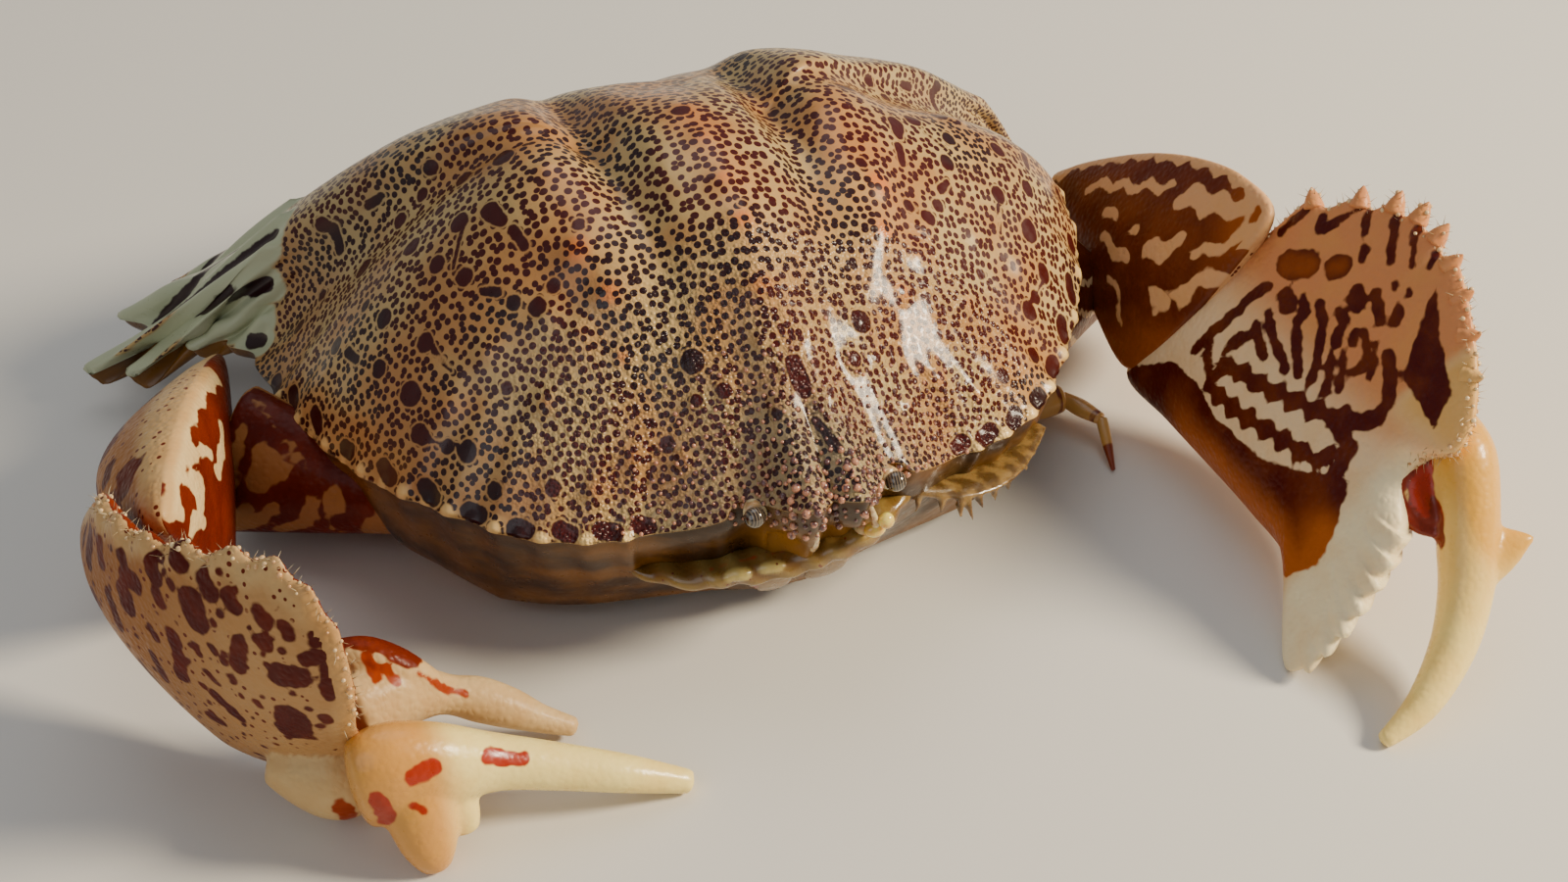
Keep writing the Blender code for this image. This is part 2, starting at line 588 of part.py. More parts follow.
# Each pair: the piece that gives way, and the neighbours it is cut back from.
YIELDS = (
    ("carapace", ("eye_left", "eye_right", "antenna_left", "antenna_right", "abdomen", "sternum",
                  "leg1_merus_left", "leg1_carpus_right", "merus_left", "merus_right", "ischium_left",
                  "ischium_right")),
    ("sternum", ("abdomen", "ischium_left", "ischium_right")),
) + tuple(
    (f"leg{number}_merus_{side}", ("sternum",)) for number in (1, 2, 3, 4) for side in ("left", "right")
) + (
    ("leg1_merus_left", ("ischium_left",)),
    ("maxilliped_left", ("carapace", "maxilliped_right", "antenna_left")),
    ("maxilliped_right", ("carapace", "antenna_right")),
    ("merus_left", ("ischium_left", "leg1_merus_left")),
    ("merus_right", ("ischium_right",)),
    ("carpus_left", ("merus_left", "carapace")),
    ("carpus_right", ("merus_right", "carapace")),
    ("palm_left", ("carpus_left",)),
    ("palm_right", ("carpus_right",)),
    ("dactyl_left", ("palm_left",)),
    ("dactyl_right", ("palm_right",)),
) + tuple(
    (f"leg{number}_{piece}_{side}", (f"leg{number}_{inner}_{side}",))
    for number in (1, 2, 3, 4)
    for side in ("left", "right")
    for piece, inner in (("carpus", "merus"), ("propodus", "carpus"), ("dactyl", "propodus"))
)


def finish_of(name):
    for key, finish in FINISH_OF:
        if name.startswith(key):
            return finish.build()
    raise ValueError(name)


def clear_scene():
    for item in list(bpy.data.objects):
        bpy.data.objects.remove(item, do_unlink=True)


def face_outwards(mesh):
    work = bmesh.new()
    work.from_mesh(mesh)
    bmesh.ops.recalc_face_normals(work, faces=work.faces)
    if work.calc_volume(signed=True) < 0:
        bmesh.ops.reverse_faces(work, faces=work.faces)
    bmesh.ops.triangulate(work, faces=work.faces)
    work.to_mesh(mesh)
    work.free()


def make(name, rings):
    verts, faces = skin(rings)
    verts = verts.copy()
    verts[:, 2] = np.maximum(verts[:, 2], 0.0)
    mesh = bpy.data.meshes.new(name)
    mesh.from_pydata([tuple(v) for v in verts], [], faces)
    face_outwards(mesh)
    item = bpy.data.objects.new(name, mesh)
    bpy.context.scene.collection.objects.link(item)
    item.data.materials.append(finish_of(name))
    return item


def grown(item, by):
    """A copy of a piece swollen by a clearance along its vertex normals."""
    copy = bpy.data.objects.new(item.name + "_cutter", item.data.copy())
    bpy.context.scene.collection.objects.link(copy)
    work = bmesh.new()
    work.from_mesh(copy.data)
    work.normal_update()
    moves = [v.normal * by * v.calc_shell_factor() for v in work.verts]
    for v, move in zip(work.verts, moves):
        if move.length > 3 * by:
            move = move.normalized() * 3 * by
        v.co += move
    work.to_mesh(copy.data)
    work.free()
    copy.hide_render = True
    copy.display_type = "WIRE"
    return copy


def join_by(target, other, operation):
    """Apply one exact boolean and drop the helper object."""
    modifier = target.modifiers.new("cut", "BOOLEAN")
    modifier.operation = operation
    modifier.solver = "EXACT"
    modifier.object = other
    graph = bpy.context.evaluated_depsgraph_get()
    result = bpy.data.meshes.new_from_object(target.evaluated_get(graph))
    target.modifiers.clear()
    old = target.data
    target.data = result
    result.name = target.name
    bpy.data.meshes.remove(old)
    bpy.data.objects.remove(other, do_unlink=True)


def keep_largest(item):
    """Drop loose crumbs a cut may leave, keeping the one main body."""
    work = bmesh.new()
    work.from_mesh(item.data)
    bmesh.ops.triangulate(work, faces=work.faces)
    left = set(work.verts)
    groups = []
    while left:
        seed = left.pop()
        group = {seed}
        edge = [seed]
        while edge:
            v = edge.pop()
            for link in v.link_edges:
                w = link.other_vert(v)
                if w not in group:
                    group.add(w)
                    edge.append(w)
        left -= group
        groups.append(group)
    groups.sort(key=len)
    for group in groups[:-1]:
        bmesh.ops.delete(work, geom=list(group), context="VERTS")
    work.to_mesh(item.data)
    work.free()


def build_pieces():
    shapes = {"carapace": carapace_rings()}
    shapes.update(chela_shapes())
    shapes.update(body_shapes())
    items = {}
    for name, rings in shapes.items():
        item = make(name, rings)
        if "+" in name:
            join_by(items[name.split("+")[0]], item, "UNION")
        else:
            items[name] = item
    for name, neighbours in YIELDS:
        for other in neighbours:
            join_by(items[name], grown(items[other], GAP), "DIFFERENCE")
        keep_largest(items[name])
    return items


def settle(items):
    """Centre the whole animal on the origin, stand it on z = 0 and go to metres."""
    low = np.full(3, 1e9)
    high = np.full(3, -1e9)
    for item in items.values():
        v = np.array([p.co[:] for p in item.data.vertices])
        low = np.minimum(low, v.min(0))
        high = np.maximum(high, v.max(0))
    shift = np.array([(low[0] + high[0]) / 2, (low[1] + high[1]) / 2, low[2]])
    print("settled by", shift.round(4).tolist(), "size", (high - low).round(2).tolist())
    for item in items.values():
        for p in item.data.vertices:
            p.co = [(p.co[k] - shift[k]) * MM for k in range(3)]
        item.data.update()


clear_scene()
settle(build_pieces())
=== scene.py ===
"""Box crab at rest, dressed as a museum-style model.

The shapes repeat the part's own rules at a finer step, in millimetres, with the front of the
animal towards -Y and its left towards +X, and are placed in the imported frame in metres. Each
sub-assembly is a class, and so is each finish. Markings are fields stored on the meshes, which
the finishes turn into colour.
"""

import json
import logging
import math
from dataclasses import dataclass, field
from enum import Enum
from typing import Callable, Optional, Sequence

import bmesh
import bpy
import numpy as np
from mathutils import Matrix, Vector
from mathutils.bvhtree import BVHTree
from mathutils.interpolate import poly_3d_calc

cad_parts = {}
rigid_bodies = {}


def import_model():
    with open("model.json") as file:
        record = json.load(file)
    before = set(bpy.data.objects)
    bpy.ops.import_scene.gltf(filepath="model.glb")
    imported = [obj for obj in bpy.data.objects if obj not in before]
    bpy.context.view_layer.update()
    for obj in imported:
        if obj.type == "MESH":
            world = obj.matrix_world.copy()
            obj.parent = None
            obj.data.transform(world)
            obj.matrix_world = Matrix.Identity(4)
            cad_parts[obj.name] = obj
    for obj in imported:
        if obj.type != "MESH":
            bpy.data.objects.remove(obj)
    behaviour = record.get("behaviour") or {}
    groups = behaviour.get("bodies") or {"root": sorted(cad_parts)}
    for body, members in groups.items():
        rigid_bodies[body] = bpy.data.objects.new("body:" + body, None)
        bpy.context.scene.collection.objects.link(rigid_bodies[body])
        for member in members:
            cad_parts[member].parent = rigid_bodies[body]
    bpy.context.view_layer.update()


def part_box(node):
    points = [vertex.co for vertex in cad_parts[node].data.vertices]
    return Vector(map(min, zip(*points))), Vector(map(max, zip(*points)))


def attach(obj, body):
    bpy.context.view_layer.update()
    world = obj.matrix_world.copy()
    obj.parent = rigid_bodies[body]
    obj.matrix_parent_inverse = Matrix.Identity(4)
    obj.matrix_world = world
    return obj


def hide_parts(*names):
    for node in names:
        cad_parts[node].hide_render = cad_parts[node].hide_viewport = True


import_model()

LOG = logging.getLogger("box_crab")
MM = 0.001
BODY = "root"
Array = np.ndarray
Colour = tuple[float, float, float]


# ---- small mathematics --------------------------------------------------------------
def srgb(red: int, green: int, blue: int) -> Colour:
    """Return a display colour, 0 to 255 a channel, as linear light."""
    share = [channel / 255 for channel in (red, green, blue)]
    return tuple(c / 12.92 if c <= 0.04045 else ((c + 0.055) / 1.055) ** 2.4 for c in share)


def bell(x: Array, centre: float, width: float) -> Array:
    """Return a smooth bump of height 1 at centre."""
    return np.exp(-((x - centre) / width) ** 2)


def step(x: Array, low: float, high: float) -> Array:
    """Return a smooth rise from 0 at low to 1 at high (or a fall where high is below low)."""
    t = np.clip((x - low) / (high - low), 0, 1)
    return t * t * (3 - 2 * t)


def unit(v: Sequence[float]) -> Array:
    """Return v at length 1."""
    v = np.asarray(v, float)
    return v / np.linalg.norm(v)


def catmull(points: Sequence, per_span: int, closed: bool = False) -> Array:
    """Return a smooth curve through points.

    Args:
        points: rows of any width.
        per_span: samples to each span.
        closed: whether the last point joins the first.

    Returns:
        The sampled rows; an open curve keeps both end points.
    """
    p = np.asarray(points, float)
    spans = len(p) if closed else len(p) - 1
    count = spans * per_span + (0 if closed else 1)
    t = np.arange(count) / per_span
    i = np.minimum(t.astype(int), spans - 1)
    f = (t - i)[:, None]

    def row(k: Array) -> Array:
        """Return the control rows at k, wrapped or held at the ends."""
        return p[k % len(p)] if closed else p[np.clip(k, 0, len(p) - 1)]

    a, b, c, d = (row(i + shift) for shift in (-1, 0, 1, 2))
    square = f * f
    cube = square * f
    return 0.5 * (2 * b + (c - a) * f + (2 * a - 5 * b + 4 * c - d) * square
                  + (3 * b - a - 3 * c + d) * cube)


def smoothed(loop: Array, passes: int) -> Array:
    """Return a closed loop averaged with its neighbours a number of times."""
    out = loop.copy()
    for _ in range(passes):
        out = (out + np.roll(out, 1, 0) + np.roll(out, -1, 0)) / 3
    return out


@dataclass(frozen=True)
class Stroke:
    """A tapered round mark from start to end, in two or three dimensions, in mm."""

    start: tuple[float, ...]
    end: tuple[float, ...]
    radius: float
    end_radius: Optional[float] = None

    def distance(self, points: Array) -> Array:
        """Return each point's signed distance from the mark's edge, negative inside."""
        a = np.array(self.start, float)
        run = np.array(self.end, float) - a
        long = max(float(run @ run), 1e-9)
        t = np.clip(((points - a) @ run) / long, 0, 1)
        last = self.radius if self.end_radius is None else self.end_radius
        return np.linalg.norm(points - a - t[:, None] * run, axis=1) - (self.radius + (last - self.radius) * t)


FAR = 9.0  # a distance that counts as away from every mark


def marked(points: Array, strokes: Sequence[Stroke]) -> Array:
    """Return each point's signed distance from the nearest of several marks."""
    out = np.full(len(points), FAR)
    for stroke in strokes:
        out = np.minimum(out, stroke.distance(points))
    return out


def seen_along(points: Array, rows: Sequence, way: tuple[float, float, float]) -> Array:
    """Return each point's distance from marks that reach right through it along one way.

    Args:
        points: places in mm.
        rows: marks, each a radius and its corners.
        way: the direction that the marks run through.
    """
    d = unit(way)
    flat = [(radius, *(tuple(np.array(c) - (np.array(c) @ d) * d) for c in corners)) for radius, *corners in rows]
    return marked(points - np.outer(points @ d, d), chains(flat))


def waved(q: Array, size: float = 0.5) -> Array:
    """Return face coordinates pushed about in a slow ripple, so that marks are less even.

    Args:
        q: rows of two coordinates in mm.
        size: how far they are pushed, in mm.
    """
    return q + size * np.sin(q[:, ::-1] * 1.5 + (0.0, 2.0))


def inside(points: Array, corners: Sequence[tuple[float, float]]) -> Array:
    """Return each 2-D point's signed distance from a polygon's edge, negative inside."""
    c = np.asarray(corners, float)
    nxt = np.roll(c, -1, 0)
    out = np.full(len(points), FAR)
    odd = np.zeros(len(points), bool)
    for a, b in zip(c, nxt):
        out = np.minimum(out, Stroke(tuple(a), tuple(b), 0.0).distance(points))
        crosses = (a[1] > points[:, 1]) != (b[1] > points[:, 1])
        slope = (b[0] - a[0]) / (b[1] - a[1]) if b[1] != a[1] else 0.0
        odd ^= crosses & (points[:, 0] < a[0] + (points[:, 1] - a[1]) * slope)
    return np.where(odd, -out, out)


# ---- placing and meshing ------------------------------------------------------------
@dataclass(frozen=True)
class Placement:
    """Where the maker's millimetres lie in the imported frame."""

    shift: Array

    @classmethod
    def from_frame(cls, tail_reach: float, wing_reach: float) -> "Placement":
        """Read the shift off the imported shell, from the reach of its tail and of its right wing."""
        low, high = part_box("carapace")
        return cls(np.array([low.x + wing_reach * MM, high.y - tail_reach * MM, 0.0]))

    def to_frame(self, points: Array) -> Array:
        """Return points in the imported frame, in metres."""
        return np.asarray(points, float) * MM + self.shift


@dataclass
class Surface:
    """One closed skin in mm, with the fields that its finish reads."""

    verts: Array
    faces: list
    fields: dict[str, Array] = field(default_factory=dict)

    @classmethod
    def from_rings(cls, rings: Sequence[Array]) -> "Surface":
        """Join rings of equal count, with single-point ends, into one skin."""
        faces: list = []
        start = 0
        for ring, following in zip(rings[:-1], rings[1:]):
            n, m = len(ring), len(following)
            after = start + n
            k = np.arange(max(n, m))
            j = (k + 1) % len(k)
            if n == 1:
                rows = np.stack([0 * k + start, after + k, after + j], 1)
            elif m == 1:
                rows = np.stack([start + j, start + k, 0 * k + after], 1)
            else:
                rows = np.stack([start + k, after + k, after + j, start + j], 1)
            faces += rows.tolist()
            start = after
        made = cls(np.concatenate(rings), faces)
        made.face_outwards()
        return made

    @classmethod
    def from_mesh(cls, mesh: bpy.types.Mesh) -> "Surface":
        """Read a mesh back into a skin without fields."""
        co = np.empty(len(mesh.vertices) * 3, np.float32)
        mesh.vertices.foreach_get("co", co)
        return cls(co.reshape(-1, 3).astype(float), [list(p.vertices) for p in mesh.polygons])

    def corners(self) -> tuple[Array, Array]:
        """Return all faces as triangles: vertex indices, and each triangle's area vector."""
        quads = np.array([f for f in self.faces if len(f) == 4]).reshape(-1, 4)
        tris = np.array([f for f in self.faces if len(f) == 3]).reshape(-1, 3)
        all_tris = np.concatenate([tris, quads[:, [0, 1, 2]], quads[:, [0, 2, 3]]]).astype(int)
        a, b, c = (self.verts[all_tris[:, k]] for k in range(3))
        return all_tris, np.cross(b - a, c - a)

    def face_outwards(self) -> None:
        """Turn every face round if the skin encloses a negative volume."""
        tris, areas = self.corners()
        if (self.verts[tris[:, 0]] * areas).sum() < 0:
            self.faces = [row[::-1] for row in self.faces]

    def normals(self) -> Array:
        """Return the outward normal at each vertex."""
        tris, areas = self.corners()
        out = np.zeros_like(self.verts)
        for k in range(3):
            np.add.at(out, tris[:, k], areas)
        return out / np.maximum(np.linalg.norm(out, axis=1), 1e-12)[:, None]

    def push(self, amount: Array) -> None:
        """Move each vertex along its normal by amount, in mm."""
        self.verts = self.verts + self.normals() * np.asarray(amount)[:, None]

    def merged(self, others: Sequence["Surface"]) -> "Surface":
        """Return this skin and others side by side as one, keeping the fields they share."""
        verts, faces, base = [self.verts], list(self.faces), len(self.verts)
        for other in others:
            faces += [[k + base for k in f] for f in other.faces]
            verts.append(other.verts)
            base += len(other.verts)
        shared = [key for key in self.fields if all(key in o.fields for o in others)]
        fields = {key: np.concatenate([self.fields[key]] + [o.fields[key] for o in others]) for key in shared}
        return Surface(np.concatenate(verts), faces, fields)

    def fused(self, voxel: float, smooth_passes: int = 4) -> "Surface":
        """Return overlapping skins melted into one, with the fields carried over.

        Args:
            voxel: the melting step in mm.
            smooth_passes: how often the result is smoothed.
        """
        mesh = bpy.data.meshes.new("melt")
        mesh.from_pydata(self.verts.tolist(), [], self.faces)
        item = bpy.data.objects.new("melt", mesh)
        bpy.context.scene.collection.objects.link(item)
        remesh = item.modifiers.new("melt", "REMESH")
        remesh.mode = "VOXEL"
        remesh.voxel_size = voxel
        smooth = item.modifiers.new("smooth", "SMOOTH")
        smooth.factor = 0.5
        smooth.iterations = smooth_passes
        result = bpy.data.meshes.new_from_object(item.evaluated_get(bpy.context.evaluated_depsgraph_get()))
        out = Surface.from_mesh(result)
        bpy.data.objects.remove(item, do_unlink=True)
        bpy.data.meshes.remove(mesh)
        bpy.data.meshes.remove(result)
        tree = BVHTree.FromPolygons(self.verts.tolist(), self.faces)
        hits = [tree.find_nearest(Vector(v)) for v in out.verts]
        for key, values in self.fields.items():
            out.fields[key] = np.zeros(len(out.verts))
        for k, (at, _, face, _) in enumerate(hits):
            corners = self.faces[face]
            weights = poly_3d_calc([Vector(self.verts[c]) for c in corners], at)
            for key, values in self.fields.items():
                out.fields[key][k] = sum(w * values[c] for w, c in zip(weights, corners))
        return out

    def flattened(self, count: int) -> Array:
        """Return where the first vertices fall when their faces are pressed flat without shear, in mm.

        Args:
            count: how many vertices, from the first, are pressed flat.
        """
        faces = [face for face in self.faces if max(face) < count]
        mesh = bpy.data.meshes.new("flat")
        mesh.from_pydata(self.verts[:count].tolist(), [], faces)
        mesh.uv_layers.new(name="flat")
        item = bpy.data.objects.new("flat", mesh)
        bpy.context.scene.collection.objects.link(item)
        for other in bpy.context.view_layer.objects:
            other.select_set(False)
        bpy.context.view_layer.objects.active = item
        item.select_set(True)
        bpy.ops.object.mode_set(mode="EDIT")
        bpy.ops.mesh.select_all(action="SELECT")
        bpy.ops.uv.unwrap(method="CONFORMAL", margin=0.0)
        bpy.ops.object.mode_set(mode="OBJECT")
        uv = np.zeros(2 * len(mesh.loops))
        corner = np.zeros(len(mesh.loops), np.int32)
        mesh.uv_layers[0].data.foreach_get("uv", uv)
        mesh.loops.foreach_get("vertex_index", corner)
        flat = np.zeros((count, 2))
        flat[corner] = uv.reshape(-1, 2)
        area = sum(polygon.area for polygon in mesh.polygons)
        shown = np.array([face[:3] for face in faces])
        a, b = flat[shown[:, 1]] - flat[shown[:, 0]], flat[shown[:, 2]] - flat[shown[:, 0]]
        p = self.verts[shown]
        real = np.linalg.norm(np.cross(p[:, 1] - p[:, 0], p[:, 2] - p[:, 0]), axis=1).sum()
        scale = math.sqrt(real / np.abs(a[:, 0] * b[:, 1] - a[:, 1] * b[:, 0]).sum())
        LOG.info("flattened %.0f square mm at %.1f", area, scale)
        bpy.data.objects.remove(item, do_unlink=True)
        return flat * scale

    def to_object(self, name: str, place: Placement, material: bpy.types.Material) -> bpy.types.Object:
        """Return the skin as a Blender object with its fields and finish, at the origin.

        Args:
            name: the object's name.
            place: how millimetres lie in the frame.
            material: the finish to wear.
        """
        verts = place.to_frame(self.verts)
        verts[:, 2] = np.maximum(verts[:, 2], 0.0)
        mesh = bpy.data.meshes.new(name)
        mesh.from_pydata(verts.tolist(), [], self.faces)
        mesh.shade_smooth()
        for key, values in self.fields.items():
            kind, slot = ("FLOAT", "value") if values.ndim == 1 else ("FLOAT_VECTOR", "vector")
            stored = mesh.attributes.new(key, kind, "POINT")
            stored.data.foreach_set(slot, values.astype(np.float32).ravel())
        mesh.materials.append(material)
        item = bpy.data.objects.new(name, mesh)
        bpy.context.scene.collection.objects.link(item)
        return item


def install(item: bpy.types.Object, nodes: Sequence[str] = ()) -> bpy.types.Object:
    """Let a finished piece ride on the body and stand for its CAD nodes."""
    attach(item, BODY)
    if nodes:
        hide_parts(*nodes)
    LOG.info("%s: %d faces", item.name, len(item.data.polygons))
    return item


def tube(stations: Sequence, per_span: int = 6, sides: int = 28, power: float = 2.0) -> Surface:
    """Loft along stations of (x, y, z, half height, half width[, up x, y, z]) with round ends.

    Args:
        stations: the listed sections.
        per_span: rings to each span.
        sides: points round each ring.
        power: 2 for an ellipse, more for a squarer section.

    Returns:
        The skin, with fields run (0 to 1 along it) and turn (the angle round it).
    """
    rows = [tuple(v) if len(v) > 5 else (*v, 0.0, 0.0, 1.0) for v in stations]
    s = catmull(rows, per_span)
    along = np.gradient(s[:, :3], axis=0)
    along /= np.linalg.norm(along, axis=1)[:, None]
    angle = np.arange(sides) * 2 * math.pi / sides
    across = np.sign(np.cos(angle)) * np.abs(np.cos(angle)) ** (2 / power)
    upward = np.sign(np.sin(angle)) * np.abs(np.sin(angle)) ** (2 / power)
    cap = 4
    shares = np.arange(1, cap + 1) / (cap + 1) * math.pi / 2
    rings, runs = [], []

    def ring(k: int, size: float, push: float) -> Array:
        """Return the ring at station k, scaled by size and moved push mm along."""
        t = along[k]
        up = unit(s[k, 5:8] - (s[k, 5:8] @ t) * t)
        side = np.cross(t, up)
        middle = s[k, :3] + t * push
        return middle + np.outer(across * s[k, 4] * size, side) + np.outer(upward * s[k, 3] * size, up)

    for end, sign in ((0, -1.0), (len(s) - 1, 1.0)):
        depth = min(s[end, 3], s[end, 4]) * 0.35
        tip = (s[end, :3] + along[end] * depth * sign)[None, :]
        caps = [ring(end, math.cos(a), math.sin(a) * depth * sign) for a in shares]
        if end == 0:
            rings += [tip] + caps[::-1] + [ring(k, 1.0, 0.0) for k in range(len(s))]
            runs += [0.0] * (cap + 1) + list(np.linspace(0, 1, len(s)))
        else:
            rings += caps + [tip]
            runs += [1.0] * (cap + 1)
    made = Surface.from_rings(rings)
    made.fields["run"] = np.concatenate([np.full(len(r), v) for r, v in zip(rings, runs)])
    made.fields["turn"] = np.concatenate([angle if len(r) > 1 else np.zeros(1) for r in rings])
    return made


# ---- finishes -----------------------------------------------------------------------
class Graph:
    """A material's node tree, with short names for the nodes the finishes use."""

    def __init__(self, name: str) -> None:
        """Start an empty Principled material of that name."""
        self.material = bpy.data.materials.new(name)
        self.material.use_nodes = True
        self.tree = self.material.node_tree
        self.shader = self.tree.nodes["Principled BSDF"]

    def add(self, kind: str, settings: Optional[dict] = None, **inputs) -> bpy.types.Node:
        """Return a new node.

        Args:
            kind: the node's type.
            settings: its own options.
            inputs: socket values or links, by socket name with _ for a space.
        """
        node = self.tree.nodes.new(kind)
        for key, value in (settings or {}).items():
            setattr(node, key, value)
        for key, value in inputs.items():
            self.join(value, node.inputs[key.replace("_", " ")])
        return node

    def join(self, value, socket: bpy.types.NodeSocket) -> None:
        """Link an output to a socket, or set the socket's value."""
        if isinstance(value, bpy.types.NodeSocket):
            self.tree.links.new(value, socket)
        elif isinstance(value, tuple) and len(value) == 3 and socket.type == "RGBA":
            socket.default_value = (*value, 1.0)
        else:
            socket.default_value = value

    def field(self, name: str, vector: bool = False) -> bpy.types.NodeSocket:
        """Return a stored field, as a number or as a vector."""
        node = self.add("ShaderNodeAttribute", {"attribute_name": name})
        return node.outputs["Vector" if vector else "Fac"]

    def where(self) -> bpy.types.NodeSocket:
        """Return the object's own coordinates, in metres."""
        return self.add("ShaderNodeTexCoord").outputs["Object"]

    def maths(self, operation: str, a, b=0.0) -> bpy.types.NodeSocket:
        """Return one arithmetic step on numbers or links."""
        node = self.tree.nodes.new("ShaderNodeMath")
        node.operation = operation
        self.join(a, node.inputs[0])
        self.join(b, node.inputs[1])
        return node.outputs[0]

    def rise(self, value, low: float, high: float, top: float = 1.0) -> bpy.types.NodeSocket:
        """Return a smooth rise from 0 at low to top at high."""
        node = self.add("ShaderNodeMapRange", {"interpolation_type": "SMOOTHSTEP"}, Value=value)
        for key, number in (("From Min", low), ("From Max", high), ("To Max", top)):
            node.inputs[key].default_value = number
        return node.outputs["Result"]

    def blend(self, share, a, b) -> bpy.types.NodeSocket:
        """Return colour a turning into colour b as share goes from 0 to 1."""
        node = self.tree.nodes.new("ShaderNodeMix")
        node.data_type = "RGBA"
        self.join(share, node.inputs[0])
        self.join(a, node.inputs[6])
        self.join(b, node.inputs[7])
        return node.outputs[2]

    def noise(self, vector, scale: float, detail: float = 2.0) -> bpy.types.Node:
        """Return a noise texture node."""
        return self.add("ShaderNodeTexNoise", Vector=vector, Scale=scale, Detail=detail)

    def cells(self, vector, scale: float, loose: float = 1.0, flat: bool = False) -> bpy.types.Node:
        """Return a cell texture node, in two dimensions if flat."""
        return self.add("ShaderNodeTexVoronoi", {"voronoi_dimensions": "2D" if flat else "3D"},
                        Vector=vector, Scale=scale, Randomness=loose)

    def nudged(self, vector, by, amount: float) -> bpy.types.NodeSocket:
        """Return a vector shifted by a colour's distance from mid grey, times amount."""
        centred = self.add("ShaderNodeVectorMath", {"operation": "SUBTRACT"})
        self.join(by, centred.inputs[0])
        centred.inputs[1].default_value = (0.5, 0.5, 0.5)
        scaled = self.add("ShaderNodeVectorMath", {"operation": "SCALE"})
        self.join(centred.outputs[0], scaled.inputs[0])
        scaled.inputs["Scale"].default_value = amount
        total = self.add("ShaderNodeVectorMath", {"operation": "ADD"})
        self.join(vector, total.inputs[0])
        self.join(scaled.outputs[0], total.inputs[1])
        return total.outputs[0]

    def bump(self, height, distance: float, strength: float = 1.0, under=None) -> bpy.types.NodeSocket:
        """Return a normal raised by height times distance, over another normal if given."""
        node = self.add("ShaderNodeBump", Height=height, Distance=distance, Strength=strength)
        if under is not None:
            self.join(under, node.inputs["Normal"])
        return node.outputs["Normal"]


@dataclass(frozen=True)
class Finish:
    """What every finish has: a name, a gloss and a wet coat. Subclasses paint the rest."""

    name: str
    roughness: float = 0.34
    coat: float = 0.5
    coat_roughness: float = 0.12
    scatter: float = 0.0
    shine: float = 0.5

    def paint(self, g: Graph) -> None:
        """Link the colour, roughness and normal of the shader."""
        raise NotImplementedError

    def build(self) -> bpy.types.Material:
        """Return the material, made once."""
        made = bpy.data.materials.get(self.name)
        if made:
            return made
        g = Graph(self.name)
        g.shader.inputs["Roughness"].default_value = self.roughness
        g.shader.inputs["Coat Weight"].default_value = self.coat
        g.shader.inputs["Coat Roughness"].default_value = self.coat_roughness
        g.shader.inputs["Specular IOR Level"].default_value = self.shine
        g.shader.inputs["Subsurface Weight"].default_value = self.scatter
        g.shader.inputs["Subsurface Scale"].default_value = 1.5 * MM
        g.shader.inputs["Subsurface Radius"].default_value = (1.0, 0.5, 0.3)
        self.paint(g)
        return g.material


